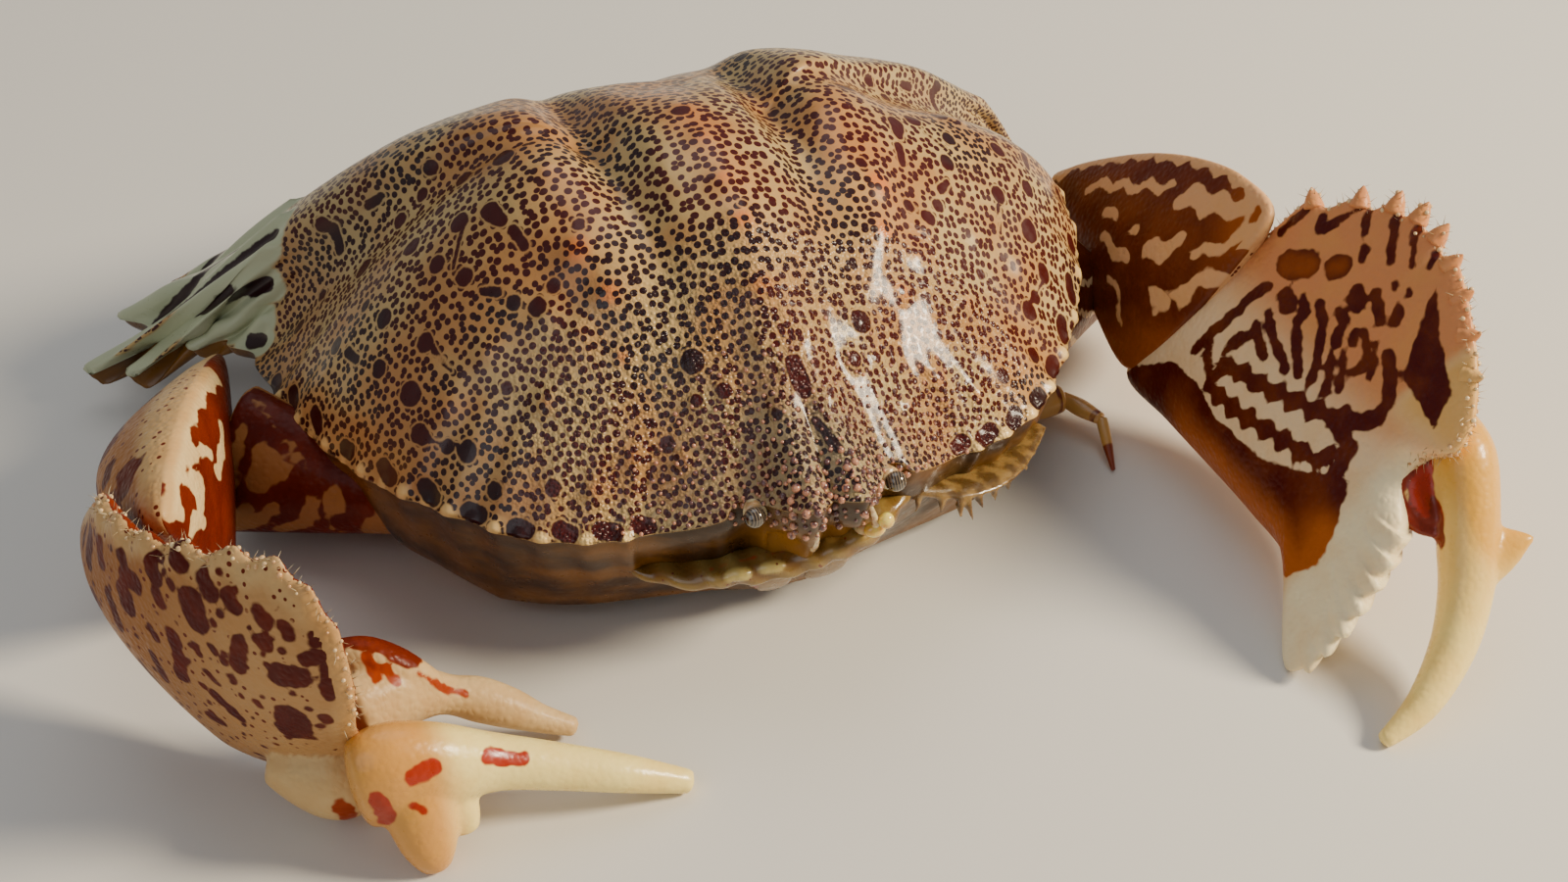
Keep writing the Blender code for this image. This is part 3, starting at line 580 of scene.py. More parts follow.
@dataclass(frozen=True)
class DottedShell(Finish):
    """The back: tan shell with maroon dots and spots, pale wing ribs and a bare underside.

    Reads the fields place, blot, wing, bar, under, ridge_sheen_pit_amber, grit, crust_and_shade and rim. The orange on
    ridges and knobs is painted highlight; the grey at the front edge and the dark underside browns are partly painted
    shade.
    """

    cream: Colour = srgb(190, 160, 104)
    tan: Colour = srgb(178, 128, 74)
    # Painted highlight: the warm orange laid on ridge crests and knob tops.
    sheen_orange: Colour = srgb(214, 118, 52)
    # Partly painted shade: the grey of the front edge, where shade falls, also laid on the rear flanks.
    grey: Colour = srgb(152, 138, 104)
    maroon: Colour = srgb(66, 12, 6)
    plum: Colour = srgb(40, 14, 15)
    rib: Colour = srgb(180, 184, 150)
    bead: Colour = srgb(240, 204, 132)
    # Partly painted shade: the underside's own browns, set dark for the shade under the rim.
    belly: Colour = srgb(120, 76, 10)
    belly_dark: Colour = srgb(48, 25, 3)
    gum: Colour = srgb(146, 98, 30)
    dot_pitch: float = 0.88
    dot_radius: float = 0.345
    dot_spread: float = 0.13

    def paint(self, g: Graph) -> None:
        """Paint ground, dots, blots, wings, rim and underside."""
        where = g.where()
        broad = g.noise(where, 90.0, 3.0)
        fine = g.noise(where, 900.0, 2.0)
        place = g.nudged(g.field("place", True), g.noise(where, 420.0, 1.0).outputs["Color"], 0.34)
        cells = g.cells(place, 1 / self.dot_pitch, 0.72, True)
        size = g.maths("MULTIPLY_ADD", cells.outputs["Color"], self.dot_spread)
        size.node.inputs[2].default_value = self.dot_radius - self.dot_spread / 2
        size = g.maths("MULTIPLY", size, g.maths("SUBTRACT", 1.12, g.maths("MULTIPLY", g.field("under"), 1.2)))
        dots = g.rise(g.maths("SUBTRACT", size, cells.outputs["Distance"]), -0.035, 0.035)
        edge = g.maths("MULTIPLY_ADD", fine.outputs["Fac"], 0.5)
        edge.node.inputs[2].default_value = -0.25
        blot = g.maths("ADD", g.field("blot"), edge)
        bar = g.maths("ADD", g.field("bar"), edge)
        dots = g.maths("MULTIPLY", dots, g.rise(blot, 0.05, 0.35))
        dots = g.maths("MULTIPLY", dots, g.rise(g.field("wing"), 0.5, 0.2))
        dots = g.maths("MULTIPLY", dots, g.rise(g.field("rim"), 0.6, 0.25))
        ground = g.blend(g.rise(broad.outputs["Fac"], 0.38, 0.62), self.tan, self.cream)
        # Painted highlight: orange sheen on ridge crests and knob tops.
        ground = g.blend(g.field("ridge_sheen_pit_amber"), ground, self.sheen_orange)
        # Partly painted shade: greyer at the front edge, where shade falls, and on the rear flanks.
        ground = g.blend(g.field("crust_and_shade"), ground, self.grey)
        ground = g.blend(g.rise(g.field("wing"), 0.2, 0.8), ground, self.rib)
        ground = g.blend(g.field("rim"), ground, self.bead)
        dark = g.blend(g.rise(g.noise(where, 60.0).outputs["Fac"], 0.45, 0.6), self.maroon, self.plum)
        skin = g.blend(dots, ground, dark)
        skin = g.blend(g.rise(blot, 0.09, -0.09), skin, dark)
        skin = g.blend(g.rise(bar, 0.1, -0.1), skin, self.plum)
        smear = g.add("ShaderNodeMapping", Vector=where, Scale=(0.6, 0.6, 1.6))
        mottle = g.rise(g.noise(smear.outputs[0], 150.0, 5.0).outputs["Fac"], 0.34, 0.68)
        # Partly painted shade: the underside's browns are kept dark for the shade under the rim.
        under = g.blend(mottle, self.belly_dark, self.belly)
        # The feeler pits take their own amber from the same field.
        under = g.blend(g.field("ridge_sheen_pit_amber"), under, self.gum)
        self_colour = g.blend(g.rise(g.field("under"), 0.35, 0.65), skin, under)
        g.join(self_colour, g.shader.inputs["Base Color"])
        rough = g.maths("ADD", g.rise(fine.outputs["Fac"], 0.3, 0.7, 0.16), self.roughness - 0.06)
        rough = g.maths("ADD", rough, g.maths("MULTIPLY", g.field("crust_and_shade"), 0.2))
        rough = g.maths("SUBTRACT", rough, g.maths("MULTIPLY", g.field("grit"), 0.1))
        g.join(rough, g.shader.inputs["Roughness"])
        grain = g.cells(where, 1 / (0.42 * MM))
        height = g.maths("MULTIPLY", g.rise(grain.outputs["Distance"], 0.75, 0.0), g.field("grit"))
        normal = g.bump(height, 0.16 * MM)
        normal = g.bump(g.noise(where, 700.0, 3.0).outputs["Fac"], 0.10 * MM, 0.6, normal)
        g.join(normal, g.shader.inputs["Normal"])


@dataclass(frozen=True)
class PaintedShell(Finish):
    """Claw and limb shell with stains on a graded ground.

    Reads the fields stain (mm, negative inside), tone, blush, gold and freckle.
    """

    white: Colour = srgb(244, 226, 182)
    pink: Colour = srgb(214, 140, 88)
    honey: Colour = srgb(222, 164, 80)
    wine: Colour = srgb(62, 11, 5)
    amber: Colour = srgb(182, 78, 12)
    fleck: Colour = srgb(104, 34, 14)
    bump_mm: float = 0.12
    grain_mm: float = 0.7

    def paint(self, g: Graph) -> None:
        """Paint ground, stains and freckles."""
        where = g.where()
        soft = g.noise(where, 260.0, 3.0).outputs["Fac"]
        fine = g.noise(where, 1100.0, 2.0).outputs["Fac"]
        ground = g.blend(g.field("blush"), self.white, self.pink)
        ground = g.blend(g.field("gold"), ground, self.honey)
        ground = g.blend(g.rise(soft, 0.62, 0.3, 0.22), ground, self.honey)
        edge = g.maths("MULTIPLY_ADD", g.noise(where, 750.0, 1.0).outputs["Fac"], 0.9)
        edge.node.inputs[2].default_value = -0.45
        stain = g.maths("ADD", g.field("stain"), edge)
        cells = g.cells(where, 1 / (1.15 * MM), 0.9)
        near = g.maths("ADD", cells.outputs["Distance"], g.rise(g.field("freckle"), 1.0, 0.0))
        specks = g.rise(near, 0.25, 0.19)
        specks = g.maths("MULTIPLY", specks, g.rise(stain, 0.1, 0.4))
        tone = g.maths("ADD", g.field("tone"), g.rise(soft, 0.35, 0.7, 0.18))
        colour = g.blend(tone, self.wine, self.amber)
        body = g.blend(g.rise(stain, 0.14, -0.14), ground, colour)
        body = g.blend(specks, body, self.fleck)
        g.join(body, g.shader.inputs["Base Color"])
        g.join(g.maths("ADD", g.rise(fine, 0.3, 0.7, 0.14), self.roughness - 0.05), g.shader.inputs["Roughness"])
        grain = g.cells(where, 1 / (self.grain_mm * MM))
        normal = g.bump(g.rise(grain.outputs["Distance"], 0.8, 0.0), self.bump_mm * MM, 0.5)
        normal = g.bump(soft, 0.5 * MM, 0.35, normal)
        g.join(normal, g.shader.inputs["Normal"])


@dataclass(frozen=True)
class Mottled(Finish):
    """Plain parts: two colours drifting into each other, with a fine grain."""

    light: Colour = srgb(200, 160, 90)
    dark: Colour = srgb(140, 96, 50)
    size_mm: float = 3.0
    spread: float = 0.12
    bump_mm: float = 0.08
    alpha_glow: float = 0.0

    def paint(self, g: Graph) -> None:
        """Paint the drift of colour and the grain."""
        where = g.where()
        drift = g.noise(where, 1 / (self.size_mm * MM), 4.0).outputs["Fac"]
        fine = g.noise(where, 1300.0, 2.0).outputs["Fac"]
        g.join(g.blend(g.rise(drift, 0.5 - self.spread, 0.5 + self.spread), self.dark, self.light),
               g.shader.inputs["Base Color"])
        g.join(g.maths("ADD", g.rise(fine, 0.3, 0.7, 0.14), self.roughness - 0.05), g.shader.inputs["Roughness"])
        g.join(g.bump(fine, self.bump_mm * MM, 0.6), g.shader.inputs["Normal"])


@dataclass(frozen=True)
class StripedEye(Finish):
    """A glassy cornea over fine dark stripes, from the field stripe."""

    pale: Colour = srgb(112, 98, 80)
    dark: Colour = srgb(34, 24, 22)

    def paint(self, g: Graph) -> None:
        """Paint the stripes under a clear coat."""
        wave = g.maths("SINE", g.field("stripe"))
        g.join(g.blend(g.rise(wave, -0.25, 0.35), self.dark, self.pale), g.shader.inputs["Base Color"])
        fine = g.noise(g.where(), 1500.0).outputs["Fac"]
        g.join(g.rise(fine, 0.2, 0.8, 0.12), g.shader.inputs["Roughness"])


@dataclass(frozen=True)
class Ground(Finish):
    """The plain pale floor."""

    pale: Colour = srgb(224, 220, 212)

    def paint(self, g: Graph) -> None:
        """Paint one quiet tone with the least variation."""
        drift = g.noise(g.where(), 6.0, 2.0).outputs["Fac"]
        dusk = tuple(c * 0.97 for c in self.pale)
        g.join(g.blend(drift, dusk, self.pale), g.shader.inputs["Base Color"])


SHELL = DottedShell("dotted_shell", roughness=0.33, coat=0.22, coat_roughness=0.12, shine=0.3)
CLAW = PaintedShell("painted_claw", roughness=0.36, coat=0.08, coat_roughness=0.2, scatter=0.06, shine=0.2,
                    wine=srgb(74, 9, 4), amber=srgb(170, 84, 8))
# Partly painted shade: the heavy claw's finish is a darker copy of the claw finish, its browner tone real and its
# darkness painted shade.
HEAVY_SHADED = PaintedShell("heavy_claw_shaded", roughness=0.36, coat=0.05, coat_roughness=0.2, scatter=0.04, shine=0.12,
                     white=srgb(226, 196, 140), pink=srgb(138, 82, 40), honey=srgb(176, 114, 50), wine=srgb(70, 6, 3),
                     amber=srgb(158, 56, 6))
FINGER = PaintedShell("ivory_finger", roughness=0.30, coat=0.16, white=srgb(255, 230, 142), pink=srgb(206, 142, 74),
                      wine=srgb(110, 34, 8), amber=srgb(164, 40, 2), honey=srgb(226, 166, 62), bump_mm=0.05, scatter=0.03, shine=0.35)
# Partly painted shade: the limb colours are darker than the claws' to stand for the shade under the shell.
LIMB = PaintedShell("painted_limb", roughness=0.34, coat=0.4, white=srgb(196, 160, 100), pink=srgb(162, 106, 46),
                    wine=srgb(84, 22, 8), amber=srgb(140, 52, 14), bump_mm=0.05)
BELLY = Mottled("belly_plate", roughness=0.36, coat=0.35, light=srgb(212, 184, 128), dark=srgb(178, 136, 76))
AMBER_GUM = Mottled("mouth_amber", roughness=0.28, coat=0.6, light=srgb(142, 112, 62), dark=srgb(86, 62, 26),
                    size_mm=1.6, scatter=0.3)
STALK = Mottled("pale_stalk", roughness=0.25, coat=0.6, light=srgb(226, 206, 160), dark=srgb(178, 140, 92),
                size_mm=1.2, scatter=0.3)
GRANULE = Mottled("pink_granule", roughness=0.26, coat=0.7, light=srgb(196, 134, 102), dark=srgb(94, 58, 58),
                  size_mm=0.9, spread=0.06)
BEAD = Mottled("cream_bead", roughness=0.28, coat=0.6, light=srgb(236, 206, 152), dark=srgb(206, 152, 98), size_mm=1.6)
BRISTLE = Mottled("bristle", roughness=0.5, coat=0.1, light=srgb(222, 204, 164), dark=srgb(170, 142, 98), size_mm=2.0)
MOUTH = PaintedShell("mouth_shell", roughness=0.3, coat=0.5, white=srgb(196, 174, 100), pink=srgb(146, 104, 50),
                     honey=srgb(112, 76, 22), wine=srgb(110, 36, 10), amber=srgb(170, 52, 16), bump_mm=0.06, scatter=0.15)
BUD = Mottled("yellow_bud", roughness=0.18, coat=0.8, light=srgb(244, 226, 120), dark=srgb(222, 172, 70),
              size_mm=1.6, scatter=0.3)
EYE = StripedEye("striped_eye", roughness=0.1, coat=1.0, coat_roughness=0.03)
FLOOR = Ground("pale_floor", roughness=0.75, coat=0.0)


# ---- carapace -----------------------------------------------------------------------
# Margin of the left half from the rostrum round to the tail: x, y, z, flare.
FRONT = (
    (0.0, -36.8, 22.2, 0.0), (2.4, -38.6, 22.8, 0.0), (4.6, -36.4, 22.0, 0.0),
    (7.0, -33.4, 21.2, 0.0), (9.8, -33.4, 20.0, 0.0), (12.8, -32.0, 18.7, 0.0),
)
FLANK = (
    (16.6, -29.8, 17.4, 0.0), (20.0, -28.9, 17.0, 0.0), (23.9, -27.3, 16.8, 0.0), (27.6, -24.9, 16.6, 0.0),
    (31.1, -20.9, 16.4, 0.0), (34.5, -16.4, 16.0, 0.0), (37.6, -11.6, 15.4, 0.0), (40.1, -5.7, 14.7, 0.0),
    (42.0, 0.6, 13.8, 0.1), (43.2, 6.4, 13.0, 0.3), (43.8, 11.4, 12.4, 0.6),
)
WING = (
    (44.6, 16.0, 11.8, 0.9), (44.3, 19.4, 11.4, 1.0), (46.4, 22.6, 10.6, 1.0), (46.4, 24.4, 10.2, 1.0),
    (50.0, 25.6, 9.2, 1.0), (50.0, 27.8, 9.2, 1.0), (57.0, 27.4, 6.0, 1.0), (53.8, 30.6, 6.8, 1.0),
    (61.2, 31.6, 4.8, 1.0), (53.6, 34.0, 6.6, 1.0), (55.8, 38.4, 6.2, 1.0), (50.0, 37.6, 7.6, 0.9),
    (49.4, 40.6, 7.8, 0.8),
)
REAR = (
    (44.0, 38.6, 9.8, 0.6), (36.0, 38.2, 10.8, 0.3), (27.0, 38.6, 11.4, 0.1), (18.0, 39.6, 11.6, 0.0),
    (9.0, 40.2, 11.6, 0.0), (0.0, 40.2, 11.6, 0.0),
)
TAIL_REACH = 40.6  # y of the hindmost point of the shell
WING_REACH = 61.2  # how far the right wing stands out

# Spots of the back: x, y and diameter. Paired ones stand on both sides.
PAIRED_SPOTS = (
    (18.6, 6.2, 2.6), (22.0, 8.4, 2.2), (20.8, 7.0, 1.2), (24.2, 13.3, 1.9), (24.6, 1.9, 2.4), (25.0, 6.7, 1.4),
    (25.6, 12.0, 1.7), (28.0, 12.1, 2.0), (28.7, 5.0, 2.3), (27.5, -0.4, 2.0), (25.6, -3.9, 2.1),
    (22.3, -9.4, 1.7), (20.6, -11.2, 2.0), (32.6, 11.1, 2.5), (35.1, 19.1, 1.9), (34.2, 4.2, 1.5),
    (33.2, 0.1, 2.2), (37.9, 4.1, 2.1), (35.2, -3.7, 2.0), (33.4, -8.6, 2.6), (30.5, -6.0, 2.1),
    (31.5, -14.8, 1.6), (29.9, -16.5, 2.3), (28.7, -20.6, 1.9), (23.6, -23.6, 1.8), (24.9, -14.6, 1.4),
    (10.4, 5.3, 1.4), (14.9, -7.2, 1.4), (18.5, -10.3, 1.5), (8.5, -21.9, 2.5), (6.6, -25.1, 1.7),
    (9.1, -24.6, 1.3), (38.6, 10.6, 1.6), (39.4, 15.0, 1.8), (36.6, 15.4, 1.5), (12.4, 20.0, 1.8),
    (20.0, 26.0, 2.2), (27.0, 24.0, 2.0), (33.0, 27.0, 1.8), (17.0, 33.0, 1.7), (26.0, 32.0, 2.0), (9.0, 28.0, 1.6),
)
# Long marks: x, y, width at one end, then at the other.
PAIRED_DASHES = (
    ((21.5, 0.2, 2.2), (20.9, -1.8, 1.5)), ((20.6, -3.6, 1.2), (20.1, -5.8, 1.2)),
    ((24.5, -6.4, 0.9), (23.4, -7.6, 1.2)), ((34.1, 18.4, 1.5), (33.8, 16.8, 1.3)),
    ((30.4, 16.5, 1.2), (29.2, 15.8, 1.0)), ((30.2, -7.0, 0.7), (29.3, -9.9, 0.4)),
    ((33.6, -11.8, 2.1), (33.2, -12.6, 1.8)), ((32.6, -13.4, 0.5), (30.6, -15.4, 0.5)),
    ((24.4, 0.6, 0.5), (26.4, -2.2, 0.5)), ((37.2, 1.6, 1.3), (36.5, -0.4, 1.1)),
)
MIDDLE_SPOTS = ((-0.9, 2.7, 2.0), (0.3, 20.0, 2.6), (0.0, 31.0, 1.8), (2.2, -26.6, 1.3), (2.6, -29.0, 1.2),
                (-2.9, -29.2, 1.3), (-12.5, -25.6, 1.7), (0.2, -12.0, 0.9))
FACE_DASHES = (((0.0, -26.4, 1.8), (0.2, -28.2, 1.9)), ((0.4, -30.6, 0.8), (1.4, -33.6, 1.3)))
# Low knobs of the back: x, y, width and height.
KNOBS = (
    (0.2, 20.0, 4.5, 0.9), (-0.4, 3.0, 2.6, 0.35), (-0.6, -3.0, 1.5, 0.3), (-0.5, -8.9, 1.5, 0.35),
    (-0.4, -13.6, 1.7, 0.4), (-0.6, -19.7, 1.8, 0.35),
)
PAIRED_KNOBS = (
    (15.6, 0.6, 1.5, 0.3), (15.5, -9.0, 1.9, 0.45), (14.2, -14.2, 1.8, 0.45), (14.4, -18.4, 1.3, 0.4),
    (17.2, -15.1, 1.2, 0.3), (19.8, -12.2, 1.3, 0.25), (22.0, -18.2, 1.5, 0.35), (25.6, -11.0, 1.5, 0.3),
    (30.4, -12.6, 1.5, 0.25), (30.3, 4.4, 1.4, 0.25), (8.5, -21.9, 1.2, 0.55), (6.6, -25.1, 0.9, 0.4),
    (9.1, -24.6, 0.8, 0.4), (2.4, -23.8, 0.8, 0.3), (16.0, -25.0, 1.2, 0.35), (19.9, -25.8, 1.2, 0.35),
    (2.6, -29.0, 0.8, 0.35), (11.5, -27.6, 1.0, 0.4), (12.0, 22.0, 4.0, 0.5), (9.2, 10.0, 2.0, 0.2),
)
# Wing ribs and the dark bars between them, each a path of x, y and radius.
RIBS = (
    ((36.0, 31.0, 0.5), (46.0, 34.4, 0.8), (51.8, 35.8, 1.0), (55.4, 38.0, 0.7)),
    ((38.0, 25.4, 0.4), (46.6, 29.6, 0.8), (53.7, 32.2, 1.1), (60.4, 31.6, 0.6)),
    ((40.2, 22.9, 0.4), (46.8, 26.7, 0.8), (51.9, 28.9, 1.0), (56.4, 27.6, 0.7)),
    ((42.0, 20.8, 0.4), (45.8, 23.6, 0.6), (48.3, 25.6, 0.8), (49.8, 25.7, 0.6)),
)
BARS = (
    ((38.4, 27.8, 0.5), (45.4, 31.9, 0.6), (52.6, 34.0, 0.8)),
    ((39.8, 24.3, 0.9), (46.4, 28.2, 1.1), (52.4, 30.6, 0.8)),
    ((41.4, 21.9, 0.8), (46.2, 25.2, 1.0), (49.0, 27.1, 0.6)),
    ((43.2, 19.8, 0.8), (44.2, 20.8, 0.9)),
    ((37.4, 33.4, 0.4), (44.6, 36.4, 0.6), (49.2, 37.2, 0.6)),
)
# Hollows of the face: centre, radii and depth.
HOLLOWS = (
    ((1.8, -34.8, 15.8), (2.0, 3.2, 2.2), 1.9), ((-3.7, -34.6, 15.4), (1.9, 3.2, 2.4), 1.9),
    ((-7.7, -35.2, 20.0), (2.0, 2.6, 1.9), 1.7), ((7.7, -35.2, 20.0), (2.0, 2.6, 1.9), 1.7),
)


# Middles of the amber pits of the face.
FACE_PITS = ((1.8, -33.4, 15.8), (-3.7, -33.2, 15.4))


@dataclass
class Carapace:
    """The shell: a dome on a beaded margin, winged behind, with a hollow vault under it.

    Sizes are in mm; r is the share of the way from the crown to the margin.
    """

    crown: float = 41.5
    centre_y: float = 2.0
    vault_z: float = 10.6
    bead_reach: float = 0.45
    per_span: int = 8
    top_steps: int = 80
    tooth_height: float = 0.34

    def half_margin(self) -> Array:
        """Return the left margin with a bead between each pair of flank stations."""
        rows = list(FRONT) + [FLANK[0]]
        for a, b in zip(FLANK[:-1], FLANK[1:]):
            run = np.subtract(b, a)
            out = unit([run[1], -run[0]]) * self.bead_reach
            middle = np.add(a, b) / 2
            middle[:2] += out
            rows += [tuple(middle), b]
        return catmull(rows + list(WING) + list(REAR), self.per_span)

    def full_margin(self) -> Array:
        """Return the closed margin, left half and its mirror."""
        left = self.half_margin()
        return np.concatenate([left, (left * [-1, 1, 1, 1])[::-1][1:-1]])

    def turn_of(self, loop: Array) -> Array:
        """Return 0 at the front, 0.5 at the side and 1 at the rear."""
        return np.arctan2(np.abs(loop[:, 0]), -(loop[:, 1] - self.centre_y)) / math.pi

    def relief(self, x: Array, y: Array) -> Array:
        """Return how far furrows and swellings move the dome up, in mm."""
        side = np.abs(x)
        furrow = -2.9 * bell(side, 9.6, 2.9) * bell(y, 8.0, 16.0) - 0.9 * bell(side, 8.6, 2.2) * bell(y, -8.0, 11.0)
        ridge = 0.9 * bell(side, 0.0, 4.6) * bell(y, 4.0, 20.0)
        lobe = 1.5 * bell(side, 17.5, 6.0) * bell(y, 9.0, 14.0)
        cheek = -1.2 * bell(side, 24.0, 8.0) * bell(y, -17.0, 9.0)
        tail = 0.8 * bell(side, 0.0, 7.0) * bell(y, 33.0, 6.0)
        brow = -0.7 * bell(side, 4.6, 1.8) * bell(y, -26.0, 7.0) - 0.5 * bell(side, 0.0, 1.0) * bell(y, -31.0, 4.0)
        neck = -0.6 * bell(side - 0.45 * (y + 20.0), 14.0, 2.2) * bell(y, -16.0, 10.0)
        return furrow + ridge + lobe + cheek + tail + brow + neck

    def dome_ring(self, loop: Array, base: Array, r: float) -> Array:
        """Return the ring of the back at share r; teeth fade out away from the margin."""
        keep = step(r, 0.72, 1.0)
        x = base[:, 0] * r + (loop[:, 0] - base[:, 0]) * keep
        y = self.centre_y + (base[:, 1] - self.centre_y) * r + (loop[:, 1] - base[:, 1]) * keep
        mix = base + (loop - base) * keep
        turn = self.turn_of(mix)
        front = 1 - np.clip(turn / 0.5, 0, 1) ** 1.2
        back = np.clip(turn / 0.5 - 1, 0, 1)
        p = (2.5 * front + 2.3 * (1 - front)) * (1 - back) + 2.6 * back
        q = (1.35 * front + 0.80 * (1 - front)) * (1 - back) + 0.85 * back + 0.5 * base[:, 3]
        z = mix[:, 2] + (self.crown - mix[:, 2]) * np.maximum(1 - r ** p, 0) ** q
        return np.stack([x, y, z + self.relief(x, y) * min(1.0, (1 - r) * 5)], 1)

    def under_rings(self, loop: Array, base: Array) -> list[Array]:
        """Return the underside: a thin edge, the cheek wall and the vault behind it."""
        turn = self.turn_of(base)
        keys = (0.0, 0.10, 0.20, 0.30, 0.36, 0.40, 0.46, 0.52, 0.62, 0.72, 0.86, 1.0)

        def along(*values: float) -> Array:
            """Return values spread round the margin by the keys."""
            return np.interp(turn, keys, values)

        edge = along(2.2, 2.2, 2.0, 1.8, 1.8, 1.8, 1.8, 1.6, 1.2, 1.1, 1.1, 1.4)
        low_r = along(0.74, 0.78, 0.83, 0.91, 0.93, 0.945, 0.95, 0.92, 0.90, 0.88, 0.88, 0.90)
        low_z = along(3.0, 3.0, 3.0, 3.2, 4.8, 5.2, 7.6, 10.2, 8.8, 7.6, 7.6, 8.6)
        hollow_r = along(0.48, 0.50, 0.55, 0.72, 0.80, 0.82, 0.84, 0.80, 0.74, 0.72, 0.72, 0.76)
        hollow_z = along(10.6, 10.6, 11.4, 12.6, 12.8, 12.8, 12.8, 12.4, 11.6, 11.0, 11.0, 11.0)
        rim = self.dome_ring(loop, base, 0.985)
        wall_r = 1 + (low_r - 0.985) * 0.325
        rings = []
        for share, drop in ((1.0, edge), (wall_r, np.maximum(0.45 * (loop[:, 2] - low_z), edge))):
            y = self.centre_y + (rim[:, 1] - self.centre_y) * share
            rings.append(np.stack([rim[:, 0] * share, y, loop[:, 2] - drop], 1))
        for share, z in ((low_r + 0.015, low_z + 1.4), (low_r - 0.01, low_z), (low_r - 0.07, low_z + 0.5),
                         (hollow_r, hollow_z), (hollow_r * 0.5, (hollow_z + self.vault_z) / 2)):
            y = self.centre_y + (base[:, 1] - self.centre_y) * share
            rings.append(np.stack([base[:, 0] * share, y, z], 1))
        return rings

    def rings(self) -> tuple[list[Array], int]:
        """Return all rings from the crown to the vault, and the margin's place among them."""
        loop = self.full_margin()
        base = smoothed(loop, 4 * self.per_span ** 2)
        base[:, 3] = smoothed(loop, 2 * self.per_span)[:, 3]
        middle = np.array([self.centre_y])
        peak = self.crown + self.relief(0 * middle, middle)[0]
        shares = 1 - (1 - np.arange(1, self.top_steps) / self.top_steps) ** 1.15
        top = [np.array([[0.0, self.centre_y, peak]])]
        top += [self.dome_ring(loop, base, r) for r in shares] + [loop[:, :3].copy()]
        key_rings = np.array([top[-1]] + self.under_rings(loop, base))
        fine = catmull(key_rings.reshape(len(key_rings), -1), 5).reshape(-1, len(loop), 3)
        return top + list(fine[1:]) + [np.array([[0.0, self.centre_y, self.vault_z]])], self.top_steps

    def lifted(self, skin: Surface, tops: int, x: float, y: float) -> Array:
        """Return the point of the back above x, y, looking among its first vertices."""
        flat = skin.verts[:tops, :2]
        return skin.verts[int(np.argmin(((flat - [x, y]) ** 2).sum(1)))]

    def path(self, skin: Surface, tops: int, rows: Sequence, sign: float) -> list[Stroke]:
        """Return strokes laid on the back along rows of x, y and radius."""
        points = [tuple(self.lifted(skin, tops, x * sign, y)) for x, y, _ in rows]
        return [Stroke(points[k], points[k + 1], rows[k][2], rows[k + 1][2]) for k in range(len(rows) - 1)]

    def build(self, place: Placement) -> tuple[bpy.types.Object, Surface]:
        """Shape, mark and install the shell.

        Args:
            place: how millimetres lie in the frame.

        Returns:
            The finished object and its skin, for what grows on it.
        """
        rings, margin_at = self.rings()
        skin = Surface.from_rings(rings)
        count = len(rings[1])
        tops = 1 + count * margin_at
        fine = np.zeros(len(skin.verts))
        for x, y, width, height in KNOBS + tuple((x * k, *rest) for x, *rest in PAIRED_KNOBS for k in (1, -1)):
            gap = np.linalg.norm(skin.verts[:tops] - self.lifted(skin, tops, x, y), axis=1)
            fine[:tops] += height * np.exp(-(gap / width) ** 2)
        fields = self.markings(skin, tops)
        ribs = fields.pop("ridge")
        fine += ribs * 0.75 - 0.3 * step(fields["bar"], 0.6, -0.6)
        fine += self.tooth_height * fields["rim"]
        skin.push(fine)
        self.hollow(skin)
        skin.verts = self.leaned(skin.verts)
        # Painted highlight: knob tops in the front half take more of the orange sheen.
        knobs = step(fine, 0.15, 0.5) * step(skin.verts[:, 1], 8.0, -6.0) * (1 - fields["wing"])
        fields["ridge_sheen_pit_amber"] = np.clip(fields["ridge_sheen_pit_amber"] + 0.75 * knobs, 0, 1)
        skin.fields = fields
        # The feeler pits get their own amber in the same field as the sheen.
        pits = sum(bell(np.linalg.norm(skin.verts - np.array(pit), axis=1), 0.0, 2.6) for pit in FACE_PITS)
        fields["ridge_sheen_pit_amber"] = np.clip(fields["ridge_sheen_pit_amber"] + 1.3 * pits * fields["under"], 0, 1)
        item = skin.to_object("carapace_shell", place, SHELL.build())
        return install(item, ["carapace"]), skin

    def leaned(self, points: Array) -> Array:
        """Return points with the left flank raised, the left wing drawn in and the back lowered."""
        x, y, z = points.T
        back = (1.7 + 2.8 * bell(x, 1.0, 6.0)) * step(x, -27.0, -14.0) * bell(y, 20.0, 13.0)
        flank = 6.5 * step(x, 20.0, 41.0) * bell(y, 5.0, 17.0)
        wing = 0.45 * np.maximum(x - 44.0, 0.0)
        out = 0.6 * step(x, 28.0, 42.0) * bell(y, -3.0, 17.0)
        rise = flank * step(z, 4.0, 14.0) - back * step(z, 14.0, 26.0)
        return np.stack([x - wing + out, y, z + rise], 1)

    def hollow(self, skin: Surface) -> None:
        """Press the mouth, feeler pits and orbits into the face."""
        for centre, radii, depth in HOLLOWS:
            away = np.linalg.norm((skin.verts - centre) / radii, axis=1)
            inward = np.array([0.0, 1.0, 0.15])
            skin.verts = skin.verts + inward * (depth * step(away, 1.25, 0.45))[:, None]

